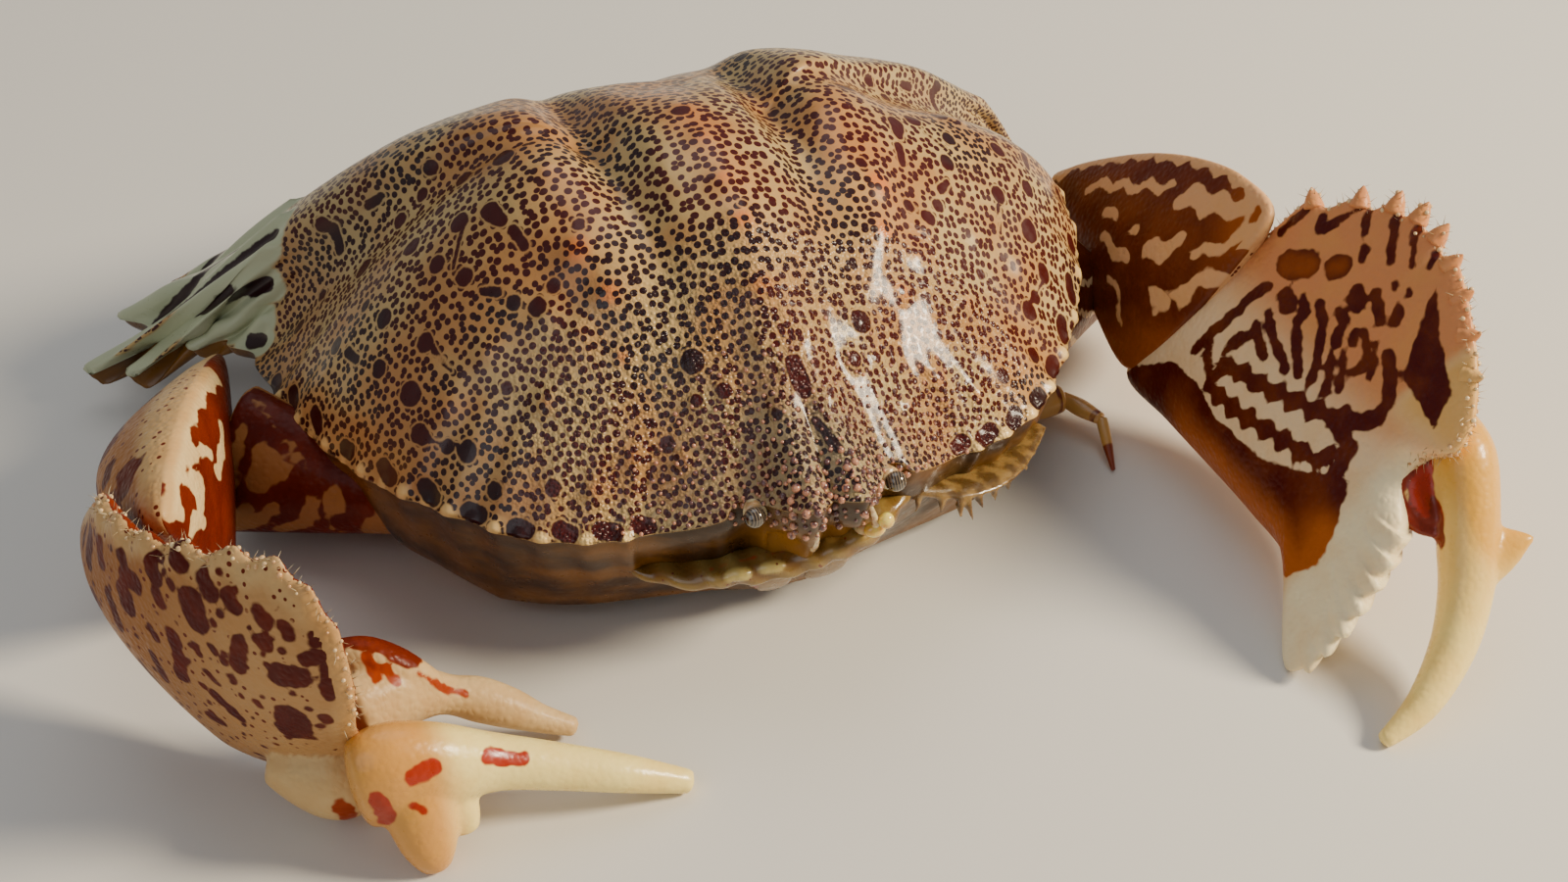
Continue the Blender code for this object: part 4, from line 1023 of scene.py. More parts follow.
    def markings(self, skin: Surface, tops: int) -> dict[str, Array]:
        """Return the fields the shell's finish reads."""
        v = skin.verts
        top = v[:tops]
        blots = [Stroke(tuple(self.lifted(skin, tops, x, y)), tuple(self.lifted(skin, tops, x, y)), size / 2)
                 for x, y, size in MIDDLE_SPOTS]
        bars, ribs, beads = [], [], []
        for row in FACE_DASHES:
            blots += self.path(skin, tops, [(x, y, w / 2) for x, y, w in row], 1.0)
        for sign in (1.0, -1.0):
            for x, y, size in PAIRED_SPOTS:
                spot = tuple(self.lifted(skin, tops, x * sign, y))
                blots.append(Stroke(spot, spot, size / 2))
            for row in PAIRED_DASHES:
                blots += self.path(skin, tops, [(x, y, w / 2) for x, y, w in row], sign)
            for x, y, _, _ in FLANK:
                out = unit([x, y - self.centre_y])
                ends = [(x - out[0] * 0.6 + k * out[1], y - out[1] * 0.6 - k * out[0], 0.95) for k in (-0.6, 0.6)]
                blots += self.path(skin, tops, ends, sign)
            for a, b in zip(FLANK[:-1], FLANK[1:]):
                out = unit([a[0] + b[0], a[1] + b[1] - 2 * self.centre_y]) * 0.2
                for share, size in ((0.5, 0.6), (0.0, 0.5)):
                    x, y = (a[k] * (1 - share) + b[k] * share + out[k] for k in (0, 1))
                    spot = tuple(self.lifted(skin, tops, x * sign, y))
                    beads.append(Stroke(spot, spot, size))
            bars += [part for row in BARS for part in self.path(skin, tops, row, sign)]
            ribs += [part for row in RIBS for part in self.path(skin, tops, row, sign)]
        rib_gap = marked(top, ribs)
        bar_gap = marked(top, bars)
        side = np.abs(top[:, 0])
        y = top[:, 1]
        shown = 1 - step(top[:, 0], 10.0, 30.0) * step(top[:, 2], 9.0, 13.0)
        # Painted highlight: orange sheen along the middle ridge and the side lobes.
        ridge_sheen_pit_amber = 0.4 * bell(side, 0.0, 3.0) * bell(y, -4.0, 18.0) + 0.25 * bell(side, 15.0, 4.0) * bell(y, -6.0, 14.0)
        # Greyer and rougher at the front edge and on the rear flanks; the grey at the front edge is painted shade.
        crust_and_shade = bell(y, -33.5, 7.0) * bell(side, 0.0, 13.0) + 0.5 * bell(side, 34.0, 8.0) * bell(y, 16.0, 14.0)
        grit = step(y, -10.0, -21.0) * step(side, 30.0, 20.0)
        ring_number = (np.arange(tops) - 1) // ((tops - 1) // self.top_steps)
        lip = 0.45 * step(ring_number, self.top_steps - 2.5, self.top_steps - 0.5) * step(side, 13.0, 18.0) * step(y, 14.0, 10.0)
        values = {
            "blot": (marked(top, blots), FAR), "bar": (bar_gap + 3 * (1 - shown), FAR), "ridge": (step(rib_gap, 0.9, -0.7) * shown, 0.0),
            "wing": (step(np.minimum(rib_gap, bar_gap), 1.9, 0.7) * shown, 0.0), "ridge_sheen_pit_amber": (ridge_sheen_pit_amber, 0.0),
            "crust_and_shade": (np.clip(crust_and_shade * 0.8, 0, 1), 0.0), "grit": (grit, 0.0),
            "rim": (np.maximum(step(marked(top, beads), 0.6, -0.4), lip), 0.0), "under": (0 * y, 1.0),
        }
        out = {key: np.concatenate([part, np.full(len(v) - tops, rest)]) for key, (part, rest) in values.items()}
        flat = np.zeros((len(v), 3))
        flat[:tops, :2] = skin.flattened(tops)
        out["place"] = flat
        return out


# ---- claws --------------------------------------------------------------------------
@dataclass(frozen=True)
class Axes:
    """Local axes of a plate: s along it, t towards its crest, w towards its outside."""

    origin: tuple[float, float, float]
    along: tuple[float, float, float]
    crestward: tuple[float, float, float]
    mirror: float = 1.0

    def point(self, s: Array, t: Array, w: Array) -> Array:
        """Return points for local coordinates."""
        p = unit(self.along)
        crest = np.array(self.crestward, float)
        c = unit(crest - (crest @ p) * p)
        outward = np.cross(c, p) * self.mirror
        return np.array(self.origin) + np.outer(s, p) + np.outer(t, c) + np.outer(w, outward)


@dataclass(frozen=True)
class Bender:
    """Swings the far half of a palm inwards, curls its fixed finger under and leans its crest back."""

    axes: Axes
    turn: float
    curl: float
    lean: float = 0.0

    def point(self, s: Array, t: Array, w: Array) -> Array:
        """Return points for local coordinates, bent."""
        radius = 34.0 / math.radians(self.turn)
        phi = np.maximum(s - 8.0, 0) / radius
        reach = np.maximum(0.7 * (s - 28.0) + 0.7 * (8.0 - t), 0)
        run = np.minimum(s, 8.0) + (radius + w) * np.sin(phi)
        out = -radius * (1 - np.cos(phi)) + w * np.cos(phi) - self.curl * reach ** 1.5 / 10
        out = out - self.lean * np.maximum(t - 12.0, 0) ** 2 * step(s, 10.0, 28.0)
        return self.axes.point(run, t, out)


def plate(edge: Sequence, centre: tuple[float, float], outer: Callable, inner: Callable, point: Callable,
          steps: int = 44, per_span: int = 6, even: float = 1.0, frill: Optional[Callable] = None) -> Surface:
    """Loft a lens-like closed plate from a given edge.

    Args:
        edge: corners of the outline as s, t.
        centre: where its rings close.
        outer: height of the outer face over s, t.
        inner: depth of the inner face over s, t.
        point: turns s, t, w into a place.
        steps: rings on each face.
        per_span: samples between corners.
        even: how far the edge's teeth are smoothed away inside the plate.
        frill: moves the outline once it is sampled.

    Returns:
        The skin, with fields s, t and face (1 on the outer face, -1 on the inner one).
    """
    outline = catmull(edge, per_span, closed=True)
    calm = smoothed(outline, int(even * per_span ** 2))
    if frill is not None:
        outline = frill(outline)
    middle = np.array(centre, float)
    shares = np.sin(np.arange(1, steps) / steps * math.pi / 2)
    rings, marks = [], []

    def ring(r: float, height: Callable, sign: float) -> None:
        """Add the ring at share r of one face."""
        rim = calm + (outline - calm) * step(r, 0.72, 1.0)
        q = middle + (rim - middle) * r
        if r == 0:
            q = q[:1]
        rings.append(point(q[:, 0], q[:, 1], sign * height(q[:, 0], q[:, 1]) * max(0.0, 1 - r ** 3) ** 0.5))
        marks.append(np.column_stack([q, np.full(len(q), sign if r < 1 else 0.0)]))

    for r in (0.0, *shares, 1.0):
        ring(r, outer, 1.0)
    for r in (*shares[::-1], 0.0):
        ring(r, inner, -1.0)
    made = Surface.from_rings(rings)
    flat = np.concatenate(marks)
    made.fields = {"s": flat[:, 0], "t": flat[:, 1], "face": flat[:, 2]}
    return made


PALM_EDGE = (
    (0.0, 0.0), (1.4, 7.5), (3.4, 15.5), (6.0, 23.5),
    (7.6, 28.0), (10.0, 28.6), (12.6, 31.8), (14.6, 31.4), (16.6, 34.0),
    (18.2, 33.0), (19.9, 34.9), (21.4, 33.4), (23.2, 34.6), (24.6, 32.8), (26.4, 33.4),
    (29.8, 31.6), (33.4, 29.2), (36.8, 26.4), (39.4, 23.0), (39.8, 19.6),
    (37.2, 16.8), (37.2, 13.6), (40.2, 10.8), (41.8, 7.4), (42.4, 3.4), (43.0, -0.6),
    (42.8, -4.6), (41.0, -7.2), (38.0, -5.8), (34.7, -2.8), (30.8, -0.6),
    (24.0, -0.6), (16.0, -0.6), (8.0, -0.5),
)
RIGHT_PALM_EDGE = (
    (1.2, 14.4), (2.2, 16.6), (4.0, 18.8), (6.0, 21.9), (8.0, 23.8), (10.0, 24.1), (12.4, 26.2), (14.4, 25.8),
    (16.6, 27.9), (18.6, 27.6), (20.8, 29.9), (22.8, 29.3), (25.0, 31.8), (27.0, 31.2), (29.2, 32.9),
    (31.4, 31.7), (33.4, 31.4), (35.2, 29.4), (37.0, 27.8), (38.2, 24.6), (39.2, 21.2), (39.2, 18.0),
    (38.6, 15.0), (37.8, 11.5), (36.4, 7.0), (34.0, 2.4), (30.5, -0.6), (24.0, 0.2), (17.0, 2.6),
    (10.0, 7.6), (4.0, 12.2),
)
FAN_EDGE = (
    (0.0, 0.0), (-8.0, 5.5), (-16.0, 12.0), (-22.0, 18.4), (-19.0, 20.6), (-12.0, 22.4), (-4.0, 23.6),
    (4.0, 23.6), (11.0, 22.4), (17.0, 19.2), (14.0, 13.0), (9.0, 6.4), (4.0, 1.4),
)
PALM_CENTRE = (23.0, 11.0)
RIGHT_PALM_CENTRE = (22.0, 14.0)
FAN_CENTRE = (-1.5, 12.5)
RIGHT_FAN_SCALE = (0.92, 0.78)
LEFT_PALM = Axes((44.8, -12.2, 6.4), (0.16, -0.985, -0.08), (0.50, -0.007, 0.867))
RIGHT_PALM = Axes((-62.6, -5.4, 5.9), (0.13, -0.972, -0.19), (-0.09, -0.21, 0.974), -1.0)
LEFT_FAN = Axes((44.5, -11.5, 7.0), (0.174, -0.896, 0.41), (0.455, 0.443, 0.771))
RIGHT_FAN = Axes((-53.0, -5.9, 4.2), (-0.312, -0.923, 0.221), (-0.096, 0.26, 0.96), -1.0)
LEFT_DACTYL = (
    (61.6, -45.6, 18.2, 4.2, 3.4), (61.4, -48.8, 17.2, 4.6, 3.6), (60.6, -52.2, 14.8, 3.6, 3.2),
    (59.4, -55.0, 12.0, 3.1, 3.0), (57.9, -57.9, 9.0, 2.8, 2.7), (55.0, -61.2, 5.7, 2.4, 2.3),
    (50.2, -64.4, 2.7, 1.7, 1.7), (45.4, -65.8, 0.8, 0.9, 0.9),
)
LEFT_SPUR = (
    (60.0, -56.0, 11.6, 3.6, 1.6, -0.3, -0.65, -0.66), (62.6, -56.6, 12.4, 2.3, 1.1, -0.3, -0.65, -0.66),
    (64.2, -57.0, 13.0, 1.1, 0.7, -0.3, -0.65, -0.66), (65.2, -57.3, 13.3, 0.3, 0.3, -0.3, -0.65, -0.66),
)
RIGHT_DACTYL = (
    (-48.2, -42.8, 8.6, 5.0, 3.4), (-45.6, -43.0, 8.8, 5.6, 3.9), (-41.5, -43.2, 8.4, 4.6, 3.6),
    (-36.2, -43.2, 7.0, 2.8, 2.7), (-30.3, -44.3, 5.2, 2.2, 2.3), (-24.3, -45.8, 3.4, 1.8, 1.9),
    (-18.6, -46.8, 1.1, 1.2, 1.2),
)
RIGHT_KNOB = (
    (-44.2, -43.8, 8.6, 3.4, 3.0, 1.0, 0.0, 0.2), (-43.9, -45.6, 6.0, 3.3, 2.6, 1.0, 0.0, 0.2),
    (-43.6, -46.8, 2.8, 2.7, 2.3, 1.0, 0.0, 0.2), (-43.4, -47.2, 0.5, 1.7, 1.6, 1.0, 0.0, 0.2),
)
RIGHT_LOBE = (
    (-41.0, -43.4, 6.6, 2.4, 2.0, 1.0, 0.0, 0.2), (-40.2, -45.0, 4.0, 2.0, 1.8, 1.0, 0.0, 0.2),
    (-39.8, -45.8, 2.2, 1.3, 1.2, 1.0, 0.0, 0.2),
)
RIGHT_POLLEX = (
    (-47.0, -35.6, 9.4, 4.8, 3.2), (-43.2, -34.2, 9.4, 3.8, 3.0), (-39.8, -33.6, 8.2, 2.5, 2.3),
    (-37.6, -33.5, 7.1, 1.9, 1.95), (-35.0, -33.8, 5.8, 2.2, 2.2), (-32.2, -34.7, 4.4, 1.95, 2.0),
    (-29.6, -35.6, 2.9, 1.4, 1.45), (-26.6, -36.4, 1.4, 1.0, 1.0),
)
RIGHT_SHOULDER = (
    (-47.6, -31.2, 13.6, 1.6, 1.5), (-45.0, -32.2, 13.6, 2.0, 1.9), (-42.6, -33.2, 12.6, 1.9, 1.9),
    (-40.6, -33.8, 10.8, 1.7, 1.7), (-39.2, -33.8, 9.0, 1.5, 1.5),
)


RIGHT_HEEL = (
    (-54.6, -35.6, 6.8, 2.6, 2.4), (-52.0, -37.2, 6.0, 3.9, 3.3), (-49.4, -38.8, 5.6, 4.3, 3.5),
    (-47.0, -39.2, 6.4, 3.0, 2.6),
)


def chain(radius: float, *corners: tuple[float, ...]) -> list[Stroke]:
    """Return one mark of even width through several corners."""
    if len(corners) == 1:
        return [Stroke(corners[0], corners[0], radius)]
    return [Stroke(a, b, radius) for a, b in zip(corners[:-1], corners[1:])]


def chains(rows: Sequence) -> list[Stroke]:
    """Return marks for rows of a radius and its corners."""
    return [stroke for radius, *corners in rows for stroke in chain(radius, *corners)]


# Marks of the left palm's inner face, radius then corners in s, t.
CROSS_BARS = (
    (0.6, (13.3, 17.0), (15.1, 16.0), (17.6, 15.2), (19.7, 14.4)), (0.6, (13.0, 15.3), (14.6, 14.6), (16.4, 13.8)),
    (0.6, (13.2, 14.2), (12.4, 12.4)), (0.6, (15.5, 20.6), (16.8, 20.0), (16.9, 18.5), (19.3, 16.4), (21.4, 15.0)),
    (0.6, (17.5, 21.3), (19.2, 20.4), (20.8, 18.5), (22.0, 17.1), (22.9, 15.4)),
    (0.6, (20.0, 22.1), (21.5, 21.8), (21.6, 20.2), (22.5, 19.6)), (0.6, (22.9, 18.3), (24.2, 17.0), (25.1, 15.5)),
    (0.5, (23.6, 19.8), (24.8, 18.4), (26.1, 16.8)), (0.5, (23.2, 21.6), (23.9, 20.9)),
    (0.5, (24.0, 22.3), (25.7, 21.2), (26.8, 19.9), (26.0, 18.8)), (0.4, (25.9, 22.4), (27.2, 21.0), (27.9, 19.6)),
    (1.1, (13.5, 19.4), (14.5, 19.1)), (1.1, (20.3, 24.5), (21.2, 24.1)), (0.7, (22.2, 25.9), (24.6, 24.3)),
    (0.7, (25.4, 26.2), (26.0, 25.2)), (0.5, (23.2, 27.8), (23.4, 27.6)), (0.35, (25.1, 28.2), (25.3, 28.0)),
    (0.6, (17.6, 28.4), (18.1, 27.5)), (0.6, (18.7, 32.0), (20.9, 29.4)), (0.4, (21.1, 32.7), (23.4, 30.4)),
    (0.6, (10.6, 27.6), (11.4, 26.6), (12.4, 28.2)), (0.4, (12.9, 29.0), (13.8, 31.0)), (0.5, (14.6, 31.2), (16.2, 29.6)),
    (0.4, (17.6, 33.2), (18.4, 31.8)), (0.4, (20.9, 33.4), (21.6, 31.8)), (0.35, (24.4, 32.6), (25.0, 31.2)),
    (0.5, (7.4, 23.7), (7.9, 25.7), (8.4, 27.2)), (0.8, (27.9, 22.3), (29.9, 20.9), (31.5, 19.0), (31.7, 17.2)),
    (1.0, (31.7, 17.2), (30.6, 15.8), (29.0, 15.1)), (0.7, (10.7, 18.8), (9.8, 16.6), (9.5, 14.1), (8.7, 11.6), (8.1, 8.6)),
    (0.6, (8.9, 10.8), (10.6, 9.0), (12.9, 7.9)), (0.5, (11.9, 13.5), (12.0, 10.8), (12.8, 9.4)),
    (0.9, (27.2, 14.1), (29.3, 13.8), (31.2, 13.3), (31.6, 11.4), (31.9, 9.7)),
)
WAVY_BANDS = (
    ((12.8, 9.4), (15.1, 10.9), (17.7, 11.4), (20.2, 11.9), (22.6, 12.7), (25.2, 13.4), (27.2, 14.1), (29.0, 15.1)),
    ((13.4, 7.3), (17.3, 7.6), (20.5, 8.2), (23.3, 8.8), (26.1, 9.3), (28.7, 9.9), (30.4, 11.1)),
)
PALM_AMBER = ((1.6, (11.1, 22.0), (13.1, 23.3)), (1.2, (16.0, 24.8), (16.6, 25.6)))
PALM_LOW = ((-1.0, -2.0), (0.8, 1.3), (6.2, 5.8), (11.2, 6.5), (16.2, 5.5), (23.4, 5.9), (28.0, 7.7), (31.1, 9.7),
            (33.6, 10.8), (35.6, 6.9), (36.8, 2.6), (34.4, -0.8), (31.0, -2.5))
PALM_WEDGE = ((27.1, 30.5), (31.2, 27.1), (36.2, 23.9), (37.1, 20.2), (33.6, 21.1), (30.6, 22.1), (29.1, 25.7), (27.6, 28.6))
# Marks of the right palm's outer face.
PALM_SPOTS = (
    (1.1, (15.9, 22.4), (16.9, 22.7)), (1.1, (15.6, 20.6), (16.2, 19.1)), (0.8, (18.5, 26.2), (19.4, 25.1)),
    (0.6, (19.7, 23.9), (20.3, 23.0)), (0.6, (13.2, 17.9), (14.4, 16.0), (14.8, 14.6)), (0.8, (23.8, 28.4), (25.0, 27.5)),
    (0.7, (26.6, 28.2), (27.6, 27.5)), (1.3, (23.3, 25.6), (24.4, 24.0)), (0.7, (29.7, 28.4), (30.7, 27.6)),
    (0.8, (30.7, 25.6), (31.1, 25.2)), (0.7, (32.4, 27.8), (32.9, 27.2)), (0.7, (20.3, 29.0), (21.5, 28.0)),
    (0.8, (28.8, 24.2), (28.9, 21.2)), (0.8, (21.9, 20.2), (22.5, 17.7), (22.5, 14.8)), (0.45, (19.1, 14.7), (20.2, 12.0)),
    (0.45, (19.1, 18.9), (19.8, 17.9)), (1.3, (33.0, 22.4), (34.3, 22.7)), (1.6, (34.0, 16.9), (34.0, 14.9)),
    (0.65, (26.3, 15.1), (28.5, 13.5)), (0.5, (24.7, 10.4), (26.1, 10.5)), (0.8, (34.9, 25.1), (36.5, 25.8)),
    (0.45, (36.7, 25.0), (36.8, 23.0), (37.4, 20.8)), (0.5, (36.8, 17.7), (37.1, 17.3)), (0.4, (30.2, 2.4), (29.7, 1.4)),
    (0.35, (30.4, 7.5), (29.6, 5.6)), (0.5, (25.7, 18.0), (26.2, 17.6)), (0.4, (28.2, 19.4), (28.5, 19.0)),
    (0.35, (30.7, 17.3), (31.0, 17.0)), (0.35, (24.5, 20.7), (24.8, 20.1)), (0.45, (21.1, 25.9), (21.3, 25.7)),
    (0.35, (26.4, 26.2), (26.6, 26.1)), (0.3, (32.6, 25.3), (32.8, 25.2)), (0.35, (26.2, 21.9), (26.4, 21.4)),
    (0.35, (18.4, 26.7), (19.4, 27.1)), (0.35, (27.4, 21.1), (27.6, 20.8)), (0.3, (31.7, 22.9), (31.9, 22.6)),
    (0.9, (8.6, 20.2), (9.0, 17.6)), (0.7, (11.0, 21.8), (11.8, 20.4)), (0.8, (10.4, 14.4), (11.0, 12.6)),
    (0.5, (6.4, 18.0), (6.8, 17.0)), (0.6, (14.6, 24.0), (15.4, 23.4)), (0.5, (16.6, 11.0), (17.4, 9.4)),
)
# White islands on the dark inner faces of the wrists.
LEFT_FAN_WHITE = (
    (1.0, (1.4, 12.3), (3.5, 13.0), (5.8, 13.9)), (0.6, (-6.7, 12.8), (-4.6, 12.1), (-2.3, 11.1)),
    (0.45, (-2.2, 14.0), (-1.7, 14.4)), (0.6, (9.1, 13.3), (11.2, 13.9), (13.1, 15.2), (15.4, 16.6)),
    (1.2, (4.7, 19.2), (7.9, 18.9), (11.1, 18.7)), (0.8, (12.1, 19.2), (14.4, 18.5)), (1.0, (4.3, 8.3), (5.4, 7.2)),
    (0.8, (8.0, 8.5), (10.4, 10.6), (12.2, 11.7)), (0.5, (-12.4, 18.6), (-9.8, 19.1), (-5.2, 19.3), (1.1, 20.0)),
    (0.4, (-3.8, 9.0), (-2.1, 7.0), (-0.7, 5.0)), (0.5, (-8.4, 16.2), (-6.4, 15.4)),
)
RIGHT_FAN_WHITE = (
    (1.3, (7.7, 14.1), (7.2, 12.9)), (1.0, (14.2, 14.7), (13.4, 14.5)), (0.6, (-5.4, 13.0), (-3.1, 11.7), (0.0, 11.6)),
    (0.5, (3.9, 16.2), (5.4, 15.6), (6.2, 16.6)), (0.5, (2.4, 14.9), (1.2, 13.7)),
    (0.9, (-12.0, 16.4), (-8.2, 17.6), (-1.7, 18.3), (4.1, 18.1), (8.0, 17.4), (10.9, 16.5)),
    (0.6, (11.8, 16.1), (13.0, 15.6)), (0.6, (11.0, 11.3), (8.6, 10.8)), (0.4, (8.7, 15.6), (8.9, 15.2)),
)
RIGHT_FAN_SPOTS = (
    (0.8, (4.0, 10.1), (5.6, 8.8)), (0.9, (2.0, 12.2), (1.6, 10.6)), (1.1, (-1.2, 14.8), (-4.5, 14.7)),
    (0.5, (-11.2, 14.9), (-13.0, 14.9)), (0.6, (-8.4, 16.4), (-10.4, 14.8)), (0.8, (6.9, 16.6), (8.6, 15.6)),
    (0.7, (7.4, 13.8), (8.7, 13.2)), (0.4, (3.4, 15.6), (4.6, 14.6)), (0.6, (-6.0, 9.4), (-8.6, 11.6)),
)
# White islands on the front of the right arm, and marks of the fingers, in x, y, z.
ARM_WHITE = (
    (1.3, (-47.2, 1.5, 11.9), (-46.0, -0.3, 11.1), (-48.3, 0.4, 9.7)), (0.6, (-48.4, 4.3, 13.5), (-49.7, 2.9, 11.5), (-50.7, 1.8, 8.9)),
    (0.9, (-51.9, 1.7, 3.9), (-49.8, 0.2, 6.4)), (0.7, (-47.1, -1.6, 7.4), (-49.0, -0.3, 5.0), (-51.1, 1.5, 3.3)),
    (0.8, (-43.5, -3.8, 8.8), (-44.5, -3.5, 6.1), (-46.9, -1.2, 4.0)), (1.2, (-41.4, -4.6, 9.6), (-41.6, -5.6, 5.6)),
    (1.6, (-36.0, -8.6, 9.4), (-38.6, -7.4, 5.6)), (1.4, (-31.0, -10.6, 8.8), (-33.0, -10.2, 6.0)),
    (0.5, (-44.4, 1.4, 13.0), (-43.2, -1.4, 11.5)), (0.4, (-46.2, 6.5, 14.9), (-45.0, 3.4, 13.7)),
)
RIGHT_FINGER_MARKS = (
    (0.85, (-44.1, -46.4, 11.4), (-42.4, -46.1, 11.6)), (0.75, (-36.9, -44.9, 9.8), (-34.0, -45.1, 8.3)),
    (0.9, (-47.6, -46.0, 9.2), (-47.0, -46.4, 7.6)), (0.4, (-44.5, -47.0, 8.4), (-43.9, -47.3, 7.8)),
)
LEFT_FINGER_MARKS = ((0.7, (58.1, -47.7, 18.8), (57.8, -49.7, 15.5), (57.3, -52.1, 14.5), (56.6, -54.3, 13.1)),)
FROM_ABOVE = (0.104, 0.705, -0.701)  # the way that the marks of the curled claw run through it
RIGHT_THUMB_MARKS = (
    (0.6, (-44.9, -33.6, 14.9), (-44.4, -35.0, 13.4)), (0.5, (-43.4, -34.6, 13.6), (-42.8, -35.2, 12.4)),
    (1.1, (-48.4, -30.4, 15.0), (-45.6, -31.2, 15.5), (-43.0, -32.3, 14.6), (-40.8, -33.0, 12.6)),
    (0.35, (-40.5, -34.5, 12.0), (-38.6, -34.9, 9.8), (-36.4, -35.1, 8.2)), (0.8, (-50.2, -41.6, 4.9), (-49.8, -41.9, 4.0)),
)
# Stations of the hooked tooth at the root of the left moving finger, and the crest teeth of its palm.
LEFT_HOOK = (
    (58.6, -46.6, 19.4, 0.7, 0.9), (56.4, -47.4, 18.2, 0.8, 0.9), (54.8, -48.4, 16.2, 0.75, 0.8),
    (54.4, -50.2, 14.6, 0.7, 0.75), (55.4, -52.0, 13.4, 0.6, 0.6), (56.8, -53.2, 13.0, 0.4, 0.4),
)
LEFT_HOOK_WEB = (
    (58.4, -47.6, 18.4, 0.9, 1.2), (56.8, -48.8, 17.0, 0.8, 1.3), (56.4, -50.4, 15.4, 0.7, 1.3), (57.2, -52.2, 14.0, 0.5, 0.9),
)
CREST_TEETH = (
    (7.6, 28.4), (12.6, 31.9), (16.6, 34.0), (19.9, 34.9), (23.2, 34.6), (26.5, 33.3), (29.9, 31.5), (33.4, 29.1),
    (36.6, 26.4),
)


def sown(points: Array, outline: Sequence, seed: int, count: int, sizes: tuple[float, float], apart: float) -> list[Stroke]:
    """Return round marks strewn inside an outline, none closer than apart.

    Args:
        points: the surface's 2-D points, whose spread sets where marks may fall.
        outline: corners that hold the marks.
        seed: fixes the draw.
        count: how many places are tried.
        sizes: smallest and largest radius.
        apart: least gap between centres.
    """
    rng = np.random.default_rng(seed)
    low, high = points.min(0), points.max(0)
    places = low + (high - low) * rng.random((count, 2))
    places = places[inside(places, outline) < -0.8]
    kept: list[Array] = []
    for spot in places:
        if all(np.linalg.norm(spot - other) > apart for other in kept):
            kept.append(spot)
    radii = sizes[0] + (sizes[1] - sizes[0]) * rng.random(len(kept)) ** 1.6
    lean = (rng.random((len(kept), 2)) - 0.5) * 1.6
    return [Stroke(tuple(a), tuple(a + d * r), float(r)) for a, d, r in zip(kept, lean, radii)]


def paint(skin: Surface, **fields: Array) -> Surface:
    """Give a skin the fields that the painted finishes read, filling in those not named."""
    n = len(skin.verts)
    rest = {"stain": FAR, "tone": 0.0, "blush": 0.0, "gold": 0.0, "freckle": 0.0}
    for key, value in rest.items():
        skin.fields[key] = np.broadcast_to(np.asarray(fields.get(key, value), float), (n,)).copy()
    return skin


@dataclass
class Claw:
    """What the two claws share: palm and wrist thickness, and how each face is marked."""

    side: str
    palm_belly: float = 7.6
    palm_rind: float = 2.6
    fan_belly: float = 7.4
    voxel: float = 0.34

    def palm_outer(self, s: Array, t: Array) -> Array:
        """Return the height of a palm's outer face."""
        return self.palm_rind + self.palm_belly * bell(t, 8.0, 12.0) * bell(s, 19.0, 21.0)

    def palm_inner(self, s: Array, t: Array) -> Array:
        """Return the depth of a palm's inner face."""
        return 1.8 + 3.0 * bell(t, 8.0, 12.0) * bell(s, 18.0, 18.0)

    def heavy_outer(self, s: Array, t: Array) -> Array:
        """Return the height of the heavy palm's outer face."""
        return 2.4 + 4.3 * bell(t, 9.6, 12.0) * bell(s, -0.8, 18.0)

    def heavy_inner(self, s: Array, t: Array) -> Array:
        """Return the depth of the heavy palm's inner face."""
        return 1.2 + 1.8 * bell(t, 8.0, 12.0) * bell(s, 18.0, 18.0)

    def fan_outer(self, s: Array, t: Array) -> Array:
        """Return the height of a wrist's outer face."""
        return 3.0 + self.fan_belly * bell(t, 11.0, 9.0) * bell(s, -2.0, 15.0)

    def fan_inner(self, s: Array, t: Array) -> Array:
        """Return the depth of a wrist's inner face."""
        return 1.6 + 0.4 * bell(t, 12.0, 9.0)

    def install(self, skin: Surface, part: str, slot: str, finish: Finish, place: Placement) -> Surface:
        """Install one claw piece in place of its node and return its skin."""
        name = f"{part}_{self.side}"
        install(skin.to_object(f"claw_{name}", place, finish.build()), [name])
        return skin


